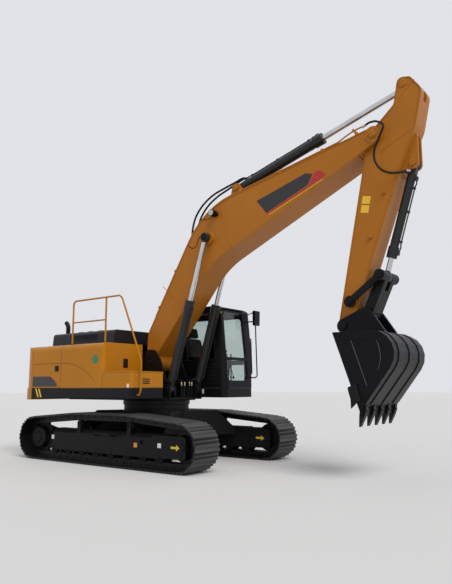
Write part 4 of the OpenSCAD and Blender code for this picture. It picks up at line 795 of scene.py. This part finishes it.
# %% Dress a cylinder
def dress_cylinder(name, body, place, barrel_r, length, gland_r, up=1):
    """Gland bolts, oil line, straps and ports. up says on which side of the barrel the line runs."""
    bm = bmesh.new()
    for k in range(10):
        angle = math.tau * k / 10
        spot = (length - 0.004, math.cos(angle) * (gland_r - 0.018), math.sin(angle) * (gland_r - 0.018))
        add_turned(bm, spot, (1, 0, 0), 0.010, 0.012, 6, place=place)
    for x in (0.16, length - 0.172):
        add_ring(bm, x, barrel_r - 0.001, barrel_r + 0.005, 0.014, place=place)
    height = up * (barrel_r + 0.028)
    for x in (0.36, length * 0.5, length - 0.26):
        add_ring(bm, x, barrel_r - 0.001, barrel_r + 0.003, 0.030, place=place)
        add_block(bm, (x - 0.018, -0.024, height - up * 0.034 - 0.004),
                  (x + 0.018, 0.024, height + 0.012), 0.003, place)
    for x in (0.215, length - 0.085):
        add_block(bm, (x - 0.032, -0.030, up * (barrel_r - 0.012) - 0.01),
                  (x + 0.032, 0.030, up * (barrel_r + 0.030) + 0.01), 0.004, place)
    line = [(0.235, 0, height), (0.30, 0, height + up * 0.010), (0.36, 0, height),
            (length * 0.5, 0, height), (length - 0.26, 0, height),
            (length - 0.18, 0, height + up * 0.012), (length - 0.10, 0, height)]
    add_tube(bm, line, 0.0115, 12, place, 5)
    return finish_piece(bm, name, body, ram_black)


dress_cylinder("boom_cylinder_line_right", "boom_barrels", boom_ram[0], 0.075, 1.662, 0.090, -1)
dress_cylinder("boom_cylinder_line_left", "boom_barrels", boom_ram[1], 0.075, 1.662, 0.090, -1)
dress_cylinder("arm_cylinder_line", "arm_barrel", stick_ram, 0.082, 1.840, 0.098, 1)
dress_cylinder("bucket_cylinder_line", "bucket_barrel", curl_ram, 0.066, 1.450, 0.080, 1)
print("cylinders dressed")

# %% [markdown]
# ## Pins and their caps
# Every pin of the working equipment is kept by a round cap or a keeper plate with bolts. From outside
# they read as dark discs on the orange plates. The caps are turned parts with an eased rim, and their
# bolt heads have six sides.

# %% Pin caps
def pin_cap(bm, place, spot, side, radius, thick=0.012, bolts=3):
    middle = Vector(spot) + Vector((0, side * thick / 2, 0))
    add_turned(bm, middle, (0, 1, 0), radius, thick, 32, edge=0.003, place=place)
    for k in range(bolts):
        angle = math.tau * k / bolts + 0.5
        head = middle + Vector((math.cos(angle) * radius * 0.6, side * (thick / 2 + 0.004),
                                math.sin(angle) * radius * 0.6))
        add_turned(bm, head, (0, 1, 0), 0.0095, 0.009, 6, place=place)


# Name, body, finish, and for each pin its frame, [along, out, above] and the cap's radius
caps = (
    ("boom_tip_pin_caps", "boom_body", arm_orange, [(boom_frame, (boom_len, 0.291, 0), 0.055)]),
    ("boom_rod_pin_caps", "boom_ram_rods", satin_black, [(pinned(boom_eye, 72), (0, 0.4312, 0), 0.060)]),
    ("arm_cylinder_pin_caps", "boom_body", arm_orange, [(boom_frame, (3.355, 0.1045, 1.424), 0.056)]),
    ("arm_pin_caps", "arm_body", arm_orange,
     [(arm_frame, (-0.812, arm_web, 0.320), 0.070), (arm_frame, (0.409, 0.1045, 0.633), 0.056)]),
    ("bucket_pin_caps", "bucket_body", satin_black, [(bucket_frame, (0, 0.2585, 0), 0.058)]),
    ("side_link_pin_caps", "lever_links", satin_black,
     [(pinned(pin["side_link_turn"], 0), (0, 0.3085, 0), 0.052),
      (pinned(bucket_eye, 0), (0, 0.2905, 0), 0.052)]),
)
for name, body, finish, rows in caps:
    bm = bmesh.new()
    for side in (-1, 1):
        for place, (along, out, above_pin), radius in rows:
            pin_cap(bm, place, (along, side * out, above_pin), side, radius)
    finish_piece(bm, name, body, finish)
print("pin caps made")

# %% [markdown]
# ## Bosses and lamp on boom and arm
# The arm carries two short studs where a hose bracket could be bolted. The work lamp is a round can
# with a rim, a bright lens and a cable that dips to the boom's back edge.

# %% Studs, lamp, cable and grease lines
bm = bmesh.new()
for u, v in ((0.892, 0.300), (1.587, 0.190)):
    for side in (-1, 1):
        add_turned(bm, (u, side * 0.197, v), (0, 1, 0), 0.030, 0.034, 20, edge=0.004, place=arm_frame)
        add_turned(bm, (u, side * 0.217, v), (0, 1, 0), 0.016, 0.014, 6, place=arm_frame)
finish_piece(bm, "arm_studs", "arm_body", arm_orange)

lamp = boom_frame @ Matrix.Translation((2.800, -0.345, 1.240))
bm = bmesh.new()
add_turned(bm, (0, -0.056, 0), (0, 1, 0), 0.064, 0.012, 36, edge=0.004, place=lamp)
add_turned(bm, (0, 0.030, 0), (0, 1, 0), 0.063, 0.010, 36, edge=0.003, place=lamp)
fins = 8
for k in range(fins):
    add_block(bm, (-0.066, -0.020, -0.003), (-0.058, 0.020, 0.003), 0.001,
              lamp @ Matrix.Rotation(math.tau * k / fins, 4, "Y"))
finish_piece(bm, "work_lamp_rings", "boom_body", satin_black)
bm = bmesh.new()
add_turned(bm, (0, -0.0585, 0), (0, 1, 0), 0.054, 0.008, 36, edge=0.002, place=lamp)
finish_piece(bm, "work_lamp_glass", "boom_body", zinc)


def boom_lines(name, routes, radius, material):
    bm = bmesh.new()
    for route in routes:
        add_tube(bm, route, radius, 8, boom_frame, 6)
    return finish_piece(bm, name, "boom_body", material)


boom_lines("lamp_cable", [[(2.770, -0.330, 1.235), (2.700, -0.285, 1.250), (2.620, -0.276, 1.300),
                           (2.545, -0.272, 1.365), (2.500, -0.262, 1.410)]], 0.005, rubber)
boom_lines("grease_lines", [[(2.395, side * 0.285, 1.075), (2.330, side * 0.276, 1.150),
                             (2.240, side * 0.272, 1.150), (2.150, side * 0.271, 1.090),
                             (2.060, side * 0.271, 1.090), (2.005, side * 0.271, 1.150),
                             (1.990, side * 0.268, 1.240)] for side in (-1, 1)], 0.005, rubber)
print("studs, lamp and small lines made")

# %% [markdown]
# ## Hoses
# Steel pipes can't bend, so wherever the machine moves the oil crosses by hose: rubber over woven wire,
# stiff, held at both ends by screwed fittings, with enough spare length for the whole travel. A hose is
# a smooth line through a few points that were read off the picture. Where it crosses a joint it is put
# on no body, and its place is baked into its mesh.

# %% Hoses over the moving joints
hoses = []


def hose(name, points, radius, body=None, bend=None):
    """Rubber hose through points, on a body if one is given. With bend given, its place is baked into its
    mesh; the bodies and ends in bend = (a, b, start, end) are not used.
    """
    line = smooth_line(points, 8)
    bm = bmesh.new()
    add_tube(bm, line, radius, 16)
    piece = finish_piece(bm, name, body, rubber)
    if bend:
        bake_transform(piece)
    length = sum((b - a).length for a, b in zip(line, line[1:]))
    hoses.append((name, round(length, 3)))
    return piece


def fitting(bm, spot, way, radius, long=0.07):
    """Screwed fitting at a hose's end, its nut and its collar."""
    way = Vector(way).normalized()
    spot = Vector(spot)
    add_turned(bm, spot + way * long * 0.30, way, radius * 1.22, long * 0.6, 20, edge=0.002)
    add_turned(bm, spot + way * long * 0.80, way, radius * 1.35, long * 0.28, 6, edge=0.001)


def ends_of(name, body, spots, material=zinc):
    bm = bmesh.new()
    for spot, way, radius in spots:
        fitting(bm, spot, way, radius)
    return finish_piece(bm, name, body, material)


tip_pipe_y = 0.220
tip_pipe = [(5.200, 0.402), (5.238, 0.391), (5.400, 0.360), (5.547, 0.318), (5.680, 0.258)]
boom_lines("boom_tip_pipes", [[(u, side * tip_pipe_y, v) for u, v in tip_pipe] for side in (-1, 1)], 0.012,
           arm_orange)
block_piece("boom_tip_clamps", "boom_body", arm_orange,
            *[((5.522, y - 0.024, 0.225), (5.560, y + 0.024, 0.345), 0.004) for y in (-0.222, 0.222)],
            *[((5.512, y - 0.030, 0.195), (5.570, y + 0.030, 0.235), 0.004) for y in (-0.236, 0.236)],
            place=boom_frame)
port_spots = []
for side, mark in ((-1, "right"), (1, "left")):
    # Loop between the pipe's end on the boom, round the tip pin, and the base of the bucket cylinder
    start = boom_frame @ Vector((5.725, side * tip_pipe_y, 0.238))
    nut = ends_of(f"pipe_end_fitting_{mark}", "boom_body",
                  [(start, boom_frame.to_3x3() @ Vector((-1, 0, 0.30)), 0.017)])
    ways = [start] + [boom_frame @ Vector(p) for p in (
        (5.800, side * 0.232, 0.205), (5.880, side * 0.270, 0.105), (5.905, side * 0.315, -0.060))
    ] + [arm_frame @ Vector(p) for p in (
        (0.120, side * 0.330, 0.135), (0.280, side * 0.325, 0.100), (0.430, side * 0.315, 0.130),
        (0.560, side * 0.300, 0.240), (0.610, side * 0.265, 0.380), (0.580, side * 0.190, 0.530))]
    end = arm_frame @ Vector((0.535, side * 0.097, 0.615))
    bend_start, bend_end = arm_frame @ Vector((0.25, 0, 0.10)), boom_frame @ Vector((5.80, 0, 0.15))
    hose(f"bucket_hose_{mark}", [end] + ways[::-1], 0.017,
         bend=("arm_body", "boom_body", bend_start, bend_end))
    port_spots.append((end, arm_frame.to_3x3() @ Vector((0.25, side, -0.55)), 0.017))
ends_of("bucket_port_fittings", "arm_body", port_spots)
print("hoses over the tip:", hoses)

# %% Hoses over the bend to the arm cylinder
bend_ends = []
route = [(1.990, 0.075, 1.272), (2.03, 0.075, 1.400), (2.16, 0.075, 1.560), (2.36, 0.072, 1.700),
         (2.62, 0.068, 1.760), (2.90, 0.064, 1.735), (3.16, 0.050, 1.650), (3.38, 0.030, 1.570),
         (3.54, 0.018, 1.515)]
for side, mark in ((-1, "right"), (1, "left")):
    points = [boom_frame @ Vector((u, side * y, v)) for u, y, v in route]
    points.append(stick_ram @ Vector((0.215, side * 0.016, 0.108)))
    hose(f"arm_cylinder_hose_{mark}", points, 0.019, bend=("boom_body", "arm_barrel", points[5], points[-1]))
    bend_ends.append((points[1], points[0] - points[1], 0.019))
ends_of("arm_cylinder_hose_fittings", "boom_body", bend_ends)
block_piece("hose_bulkhead", "boom_body", arm_orange, ((1.93, -0.13, 1.232), (2.06, 0.13, 1.285), 0.006),
            place=boom_frame)
print("hoses over the bend:", hoses[-2:])

# %% [markdown]
# ## Hoses at the boom's foot
# In front of the boom's foot a bundle of hoses comes up out of the frame to the boom cylinders, with
# plated couplings in pairs. The four pipes on the boom's back come down behind its foot pin, where the
# boom moves least, so that short hoses are enough to reach the frame. These hoses are put on no body.

# %% Hoses between frame and boom cylinders
foot_ends, hose_x = [], 0.680
for k, (side, y) in enumerate(((-1, -0.050), (-1, 0.040), (1, 0.175), (1, 0.245))):
    low = house @ Vector((hose_x, y, 1.154))
    coupling = house @ Vector((hose_x, y, 1.430))
    foot_ends.append((coupling, Vector((0, 0, -1)), 0.012))
    port = boom_ram[0 if side < 0 else 1] @ Vector((0.195 + 0.045 * (k % 2), -side * 0.078, 0.0))
    bend = house @ Vector((0.688, y * 0.6 + side * 0.12, 1.468))
    hose(f"boom_cylinder_hose_{k + 1}", [low, low.lerp(coupling, 0.5), coupling, bend, port], 0.0135,
         bend=("house", "boom_barrels", coupling, port))
ends_of("boom_cylinder_couplings", "house", foot_ends, brass_zinc)
block_piece("hose_rack", "house", satin_black,
            ((hose_x - 0.018, -0.080, 1.330), (hose_x + 0.018, 0.272, 1.352), 0.003),
            *[((hose_x - 0.008, y - 0.012, 1.150), (hose_x + 0.010, y + 0.012, 1.335), 0.003)
              for y in (-0.005, 0.110)])
print("hoses at the foot:", hoses[-4:])

# %% Hoses behind the foot
down = [(0.5615, 0.702), (0.330, 0.590), (0.195, 0.515), (0.020, 0.328), (-0.120, 0.155), (-0.170, 0.030)]
rows = (-0.220, -0.168, 0.168, 0.220)
boom_lines("boom_foot_pipes", [[(u, y, v) for u, v in down] for y in rows], 0.014, arm_orange)
back_ends = []
for k, y in enumerate(rows):
    start = boom_frame @ Vector((down[-1][0], y, down[-1][1]))
    points = [start, boom_frame @ Vector((-0.190, y, -0.070)), house @ Vector((-0.085, y, 1.480)),
              house @ Vector((-0.140, y, 1.300)), house @ Vector((-0.150, y, 1.144))]
    hose(f"boom_foot_hose_{k + 1}", points, 0.016, bend=("boom_body", "house", points[0], points[3]))
    back_ends.append((start, boom_frame.to_3x3() @ Vector((-0.1, 0, -1)), 0.016))
ends_of("boom_foot_fittings", "boom_body", back_ends)
bm = bmesh.new()
for y in rows:
    add_turned(bm, (-0.150, y, 1.160), (0, 0, 1), 0.026, 0.035, 20, edge=0.002, place=house)
finish_piece(bm, "frame_hose_sockets", "house", cast_steel)
print("hoses behind the foot:", hoses[-4:])

# %% [markdown]
# ## Tracks
# Each shoe is held by four bolts, and each link pin shows its end beside the rails. The same sums that
# lay out the loop place them: two straights, two bends and a crest over the carrier rollers. Hundreds
# of bolts and pins are low cones with few sides, in one mesh for each track.

# %% Lay out the pins of the loop
pin_r, crest_x, crest_z = 0.317, 0.650, 0.412
crest_way = Vector((crest_x - drive_x, crest_z))
slope = math.atan2(crest_way.y, crest_way.x) - math.acos(pin_r / crest_way.length)
arc = (slope + math.pi / 2) * pin_r
run = math.sqrt(crest_way.length_squared - pin_r ** 2)
half_loop = drive_x + arc + run + crest_x
shoes = 50
pitch = 2 * half_loop / shoes


def loop_point(s):
    """Point of the pin line at a distance from the middle of the bottom run."""
    if s > half_loop:
        p = loop_point(2 * half_loop - s)
        return Vector((-p.x, p.y))
    if s < drive_x:
        return Vector((s, axle_z - pin_r))
    if s < drive_x + arc:
        angle = (s - drive_x) / pin_r - math.pi / 2
        return Vector((drive_x + math.cos(angle) * pin_r, axle_z + math.sin(angle) * pin_r))
    if s < drive_x + arc + run:
        along = s - drive_x - arc
        return Vector((drive_x + pin_r * math.cos(slope) - along * math.sin(slope),
                       axle_z + pin_r * math.sin(slope) + along * math.cos(slope)))
    return Vector((half_loop - s, axle_z + crest_z))


pins = [loop_point((k + 0.5) * pitch) for k in range(shoes)]
print("pins of one track:", len(pins), "pitch", round(pitch, 4))

# %% Shoe bolts and link pins
for side, mark in ((-1, "right"), (1, "left")):
    bolts, ends = bmesh.new(), bmesh.new()
    for k in range(shoes):
        a, b = pins[k], pins[(k + 1) % shoes]
        way = (b - a).normalized()
        out = Vector((way.y, -way.x))
        seat = a + way * pitch * 0.60 + out * 0.055
        for across in (-0.085, -0.045, 0.045, 0.085):
            add_turned(bolts, (seat.x, side * track_y + across, seat.y), (out.x, 0, out.y), 0.013, 0.016, 6,
                       place=house)
        for across in (-0.098, 0.098):
            add_turned(ends, (a.x, side * track_y + across, a.y), (0, 1, 0), 0.021, 0.012, 10, place=house)
    finish_piece(bolts, f"shoe_bolts_{mark}", "chassis", cast_steel)
    finish_piece(ends, f"link_pin_ends_{mark}", "chassis", cast_steel)
print("track bolts and pins made")

# %% [markdown]
# ## Undercarriage fittings
# The final drive shows a ring of bolts and two plugs on its cover, the idler has a cap, and the slewing
# ring is bolted to the carbody all round. A bent bar on each track frame's side is the step.

# %% Bolt rings, caps and steps
def bolt_ring(bm, middle, axis, ring, count, head, tall, place=house):
    """Hexagon heads in a ring about an axis."""
    axis = Vector(axis).normalized()
    turn = Vector((0, 0, 1)).rotation_difference(axis).to_matrix()
    for k in range(count):
        angle = math.tau * k / count
        spot = Vector(middle) + turn @ Vector((math.cos(angle) * ring, math.sin(angle) * ring, 0))
        add_turned(bm, spot + axis * tall / 2, axis, head, tall, 6, place=place)


rollers, roller_z, first_roller, last_roller = 8, 0.2185, -1.335, 1.335
bm = bmesh.new()
for side in (-1, 1):
    y = side * track_y
    bolt_ring(bm, (-drive_x, y + side * 0.130, axle_z), (0, side, 0), 0.165, 16, 0.012, 0.016)
    bolt_ring(bm, (-drive_x, y + side * 0.172, axle_z), (0, side, 0), 0.080, 6, 0.011, 0.010)
    add_turned(bm, (-drive_x, y + side * 0.174, axle_z), (0, 1, 0), 0.030, 0.010, 20, edge=0.002, place=house)
    for face in (-1, 1):
        add_turned(bm, (drive_x, y + face * 0.154, axle_z), (0, 1, 0), 0.062, 0.014, 28, edge=0.004,
                   place=house)
        bolt_ring(bm, (drive_x, y + face * 0.160, axle_z), (0, face, 0), 0.042, 4, 0.009, 0.010)
        for k in range(rollers):
            x = first_roller + (last_roller - first_roller) * k / (rollers - 1)
            add_turned(bm, (x, y + face * 0.152, roller_z), (0, 1, 0), 0.030, 0.008, 18, edge=0.002,
                       place=house)
finish_piece(bm, "drive_and_roller_caps", "chassis", chassis_black)
bm = bmesh.new()
bolt_ring(bm, (0, 0, 0.9605), (0, 0, 1), 0.600, 36, 0.016, 0.02)
finish_piece(bm, "slewing_ring_bolts", "chassis", cast_steel)
bm = bmesh.new()
for side in (-1, 1):
    route = [(x, side * (track_y + out), z) for x, out, z in (
        (-0.20, 0.130, 0.50), (-0.20, 0.250, 0.51), (-0.20, 0.275, 0.54),
        (0.20, 0.275, 0.54), (0.20, 0.250, 0.51), (0.20, 0.130, 0.50))]
    add_tube(bm, route, 0.014, 12, house @ Matrix.Translation((0.1, 0, 0)))
finish_piece(bm, "track_frame_steps", "chassis", chassis_black)
print("undercarriage fittings made")

# %% [markdown]
# ## Bucket fittings
# Teeth are held on their adapters by cross pins, and the side cutters are bolted on, so they can be
# changed when they wear. Thin ridges that sand rubs bright follow the edges of the side plates.

# %% Tooth pins and cutter bolts
bm = bmesh.new()
bucket_half, teeth, last_tooth_y = 0.600, 5, 0.533
root, tip = Vector((1.276, 0.134)), Vector((1.520, 0.0))
along = (tip - root).normalized()
up = Vector((-along.y, along.x))
for k in range(teeth):
    y = last_tooth_y * (2 * k / (teeth - 1) - 1)
    spot = root + along * 0.085
    for side in (-1, 1):
        add_turned(bm, (spot.x, y + side * 0.0395, spot.y), (0, 1, 0), 0.012, 0.007, 12, edge=0.001,
                   place=bucket_frame)
    ridge = root + along * 0.02 + up * 0.040
    add_block(bm, (ridge.x - 0.03, y - 0.026, ridge.y - 0.004),
              (ridge.x + 0.03, y + 0.026, ridge.y + 0.006), 0.003, bucket_frame)
for side in (-1, 1):
    for u in (1.00, 1.08, 1.16):
        add_turned(bm, (u, side * (bucket_half + 0.0275), 0.045), (0, 1, 0), 0.019, 0.012, 6,
                   place=bucket_frame)
finish_piece(bm, "tooth_pins_and_cutter_bolts", "bucket_body", tooth_steel)
bm = bmesh.new()
for side in (-1, 1):
    for ridge in (((0.207, 0.206), (0.614, 0.245), (1.160, 0.290)),
                  ((0.245, 0.330), (0.270, 0.440), (0.375, 0.570), (0.560, 0.600), (0.763, 0.545),
                   (1.000, 0.345))):
        add_tube(bm, [(u, side * bucket_half, v) for u, v in ridge], 0.006, 8, bucket_frame, 6)
finish_piece(bm, "bucket_side_ridges", "bucket_body", wear_and_highlight_grey)
print("bucket fittings made")

# %% [markdown]
# ## The cab
# Windows sit in black rubber seals, the lower right wall has pressed ribs, and a wiper rests on the
# lower pane. A handle helps the driver in, and the mirror has a reflecting face in its shell.

# %% Seals, ribs, handle, wiper, mirror, painted highlight along the cab's foot, and roof hatch
def seal(bm, outline, fixed, at, radius=0.010):
    """Round rubber profile along a closed window outline; fixed says which axis is constant."""
    points = [Vector((at, a, b)) if fixed == "x" else Vector((a, at, b)) for a, b in outline]
    corners = []
    for p, q, r in zip(points[-1:] + points[:-1], points, points[1:] + points[:1]):
        reach = min(0.07, (p - q).length * 0.3, (r - q).length * 0.3)
        corners += [q + (p - q).normalized() * reach, q + (p - q + r - q).normalized() * reach * 0.28,
                    q + (r - q).normalized() * reach]
    corners.append(corners[0])
    add_tube(bm, corners, radius, 8, house)


bm = bmesh.new()
seal(bm, [(-0.33, 1.85), (1.06, 1.85), (1.00, 2.77), (-0.33, 2.75)], "y", cab_y + 0.001)
seal(bm, [(-0.35, 1.85), (0.20, 1.85), (0.20, 2.75), (-0.35, 2.75)], "y", 1.399)
seal(bm, [(0.60, 2.24), (1.29, 2.24), (1.29, 2.71), (0.60, 2.71)], "x", -0.459)
finish_piece(bm, "window_seals", "house", rubber)

rib_heights = [1.400 + 0.072 * k for k in range(6)]
block_piece("cab_wall_ribs", "house", satin_black, *[
    ((0.02, cab_y - 0.0035, z), (1.12, cab_y + 0.0045, z + 0.022), 0.003) for z in rib_heights])

bm = bmesh.new()
route = [(1.245, 1.385, 1.60), (1.245, 1.440, 1.60), (1.245, 1.450, 1.63), (1.225, 1.450, 2.27),
         (1.225, 1.440, 2.30), (1.225, 1.385, 2.30)]
add_tube(bm, route, 0.012, 12, house)
finish_piece(bm, "cab_grab_handle", "house", satin_black)

bm = bmesh.new()
wiper = [(1.318, 0.735, 1.515), (1.322, 0.690, 1.600), (1.318, 0.610, 1.760)]
add_tube(bm, wiper, 0.007, 8, house)
add_turned(bm, (1.310, 0.735, 1.515), (1, 0, 0), 0.022, 0.030, 20, edge=0.003, place=house)
blade = [(1.311, 0.560, 1.540), (1.311, 0.610, 1.760), (1.308, 0.640, 1.845)]
add_tube(bm, blade, 0.006, 8, house)
finish_piece(bm, "wiper", "house", plastic)

block_piece("mirror_glass", "house", mirror_face, ((1.366, 1.330, 2.580), (1.372, 1.470, 2.840), 0.003))
bm = bmesh.new()
route = [(1.300, 1.240, 2.770), (1.385, 1.245, 2.795), (1.390, 1.300, 2.818), (1.390, 1.420, 2.826),
         (1.390, 1.468, 2.812), (1.390, 1.472, 2.780)]
add_tube(bm, route, 0.010, 12, house, 6)
finish_piece(bm, "mirror_loop", "house", satin_black)
# A thin grey strip along the cab's lower edge, in front and on the right side, is a painted highlight on that
# edge.
block_piece("cab_foot_painted_highlight", "house", wear_and_highlight_grey,
            ((1.2985, 0.605, 1.311), (1.3030, 1.340, 1.319), 0.001),
            ((-0.30, cab_y - 0.003, 1.311), (1.185, cab_y + 0.0015, 1.319), 0.001))
block_piece("roof_hatch", "house", satin_black, ((0.55, 0.62, 2.900), (0.95, 1.27, 2.918), 0.008),
            *[((0.60, y - 0.03, 2.915), (0.90, y + 0.03, 2.925), 0.004) for y in (0.72, 1.17)])
print("cab fittings made")

# %% [markdown]
# ## Inside the cab
# The seat is what shows through the glass. A real seat is foam under cloth: crowned in the middle, pulled
# in at the seams. A block is cut into a grid, its rim is drawn in and its top swelled, and a subdivision
# surface rounds the rest, which is quicker than cloth simulation and looks the same through a window.

# %% Cloth for the seat
def seat_cloth():
    material, tree, shader, vector = new_material("seat_cloth")
    warp = join(tree, "ShaderNodeTexWave", {"Vector": vector, "Scale": 120.0}, bands_direction="X")
    weft = join(tree, "ShaderNodeTexWave", {"Vector": vector, "Scale": 120.0}, bands_direction="Y")
    weave = join(tree, "ShaderNodeMath", {0: warp.outputs[1], 1: weft.outputs[1]}, operation="MAXIMUM")
    tree.links.new(blend_colour(tree, weave.outputs[0], (0.035, 0.038, 0.045, 1), (0.075, 0.080, 0.090, 1)),
                   shader.inputs["Base Color"])
    bump = join(tree, "ShaderNodeBump", {"Height": weave.outputs[0], "Distance": 0.0006})
    tree.links.new(bump.outputs[0], shader.inputs["Normal"])
    shader.inputs["Roughness"].default_value = 0.9
    shader.inputs["Sheen Weight"].default_value = 0.3
    return material


cloth = seat_cloth()


def cushion(name, size, crown, place):
    """Padded block: a grid whose rim pulls in and whose middle swells."""
    bm = bmesh.new()
    made = bmesh.ops.create_cube(bm, size=1.0)["verts"]
    bmesh.ops.scale(bm, verts=made, vec=size)
    bmesh.ops.subdivide_edges(bm, edges=bm.edges[:], cuts=5, use_grid_fill=True)
    for vert in bm.verts:
        x, y, z = (2 * c / s for c, s in zip(vert.co, size))
        swell = (1 - x * x) * (1 - y * y)
        vert.co.z += (1 if z > 0 else -0.3) * crown * (swell - 0.5) * abs(z)
        channel = math.cos(math.pi * 3 * x) * 0.06 * crown if z > 0.9 else 0
        vert.co.z += channel
        vert.co.x *= 1 - 0.04 * y * y
        vert.co.y *= 1 - 0.04 * x * x
    bmesh.ops.transform(bm, matrix=place, verts=bm.verts[:])
    piece = finish_piece(bm, name, "house", cloth, sharp=180)
    rounder = piece.modifiers.new("round", "SUBSURF")
    rounder.levels = rounder.render_levels = 2
    return piece


seat_y = 0.945
seat_at = house @ Matrix.Translation((0.420, seat_y, 1.365))
lean = Matrix.Rotation(math.radians(-12), 4, "Y")
upright = lean @ Matrix.Rotation(math.radians(90), 4, "Y")
cushion("seat_cushion", Vector((0.50, 0.48, 0.13)), 0.025, seat_at @ Matrix.Translation((0.02, 0, 0.315)))
cushion("seat_back", Vector((0.60, 0.46, 0.11)), 0.022,
        seat_at @ Matrix.Translation((-0.255, 0, 0.66)) @ upright)
cushion("seat_headrest", Vector((0.20, 0.27, 0.075)), 0.015,
        seat_at @ Matrix.Translation((-0.318, 0, 1.075)) @ upright)
bm = bmesh.new()
add_block(bm, (-0.17, -0.15, 0.001), (0.20, 0.15, 0.20), 0.02, seat_at)
add_block(bm, (-0.20, -0.21, 0.20), (0.23, 0.21, 0.248), 0.012, seat_at)
add_block(bm, (-0.335, -0.17, 0.36), (-0.315, 0.17, 0.90), 0.006,
          seat_at @ Matrix.Translation((-0.06, 0, 0.02)) @ lean @ Matrix.Translation((0.12, 0, 0)))
for side in (-1, 1):
    add_turned(bm, (-0.300, side * 0.05, 0.985), (0.2, 0, -1), 0.008, 0.14, 12, place=seat_at)
    add_block(bm, (-0.22, side * 0.272 - 0.018, 0.52), (0.10, side * 0.272 + 0.018, 0.56), 0.012, seat_at)
frame_piece = finish_piece(bm, "seat_frame", "house", plastic)
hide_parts("seat")
print("seat made")

# %% Lever boots and floor mat
bm = bmesh.new()
for side in (-1, 1):
    for k in range(5):
        add_turned(bm, (0.720, seat_y + side * 0.315, 1.930 + 0.014 * k), (0, 0, 1), 0.046 - 0.006 * k,
                   0.012, 24, edge=0.003, place=house)
finish_piece(bm, "lever_boots", "house", rubber)
block_piece("floor_mat", "house", rubber, ((-0.30, 0.560, 1.3655), (1.15, 1.330, 1.3715), 0.002))
print("inside of the cab made")

# %% [markdown]
# ## The last step
# At the end the hoses and their lengths are printed.

# %% Print the hoses
print("hoses:", hoses)
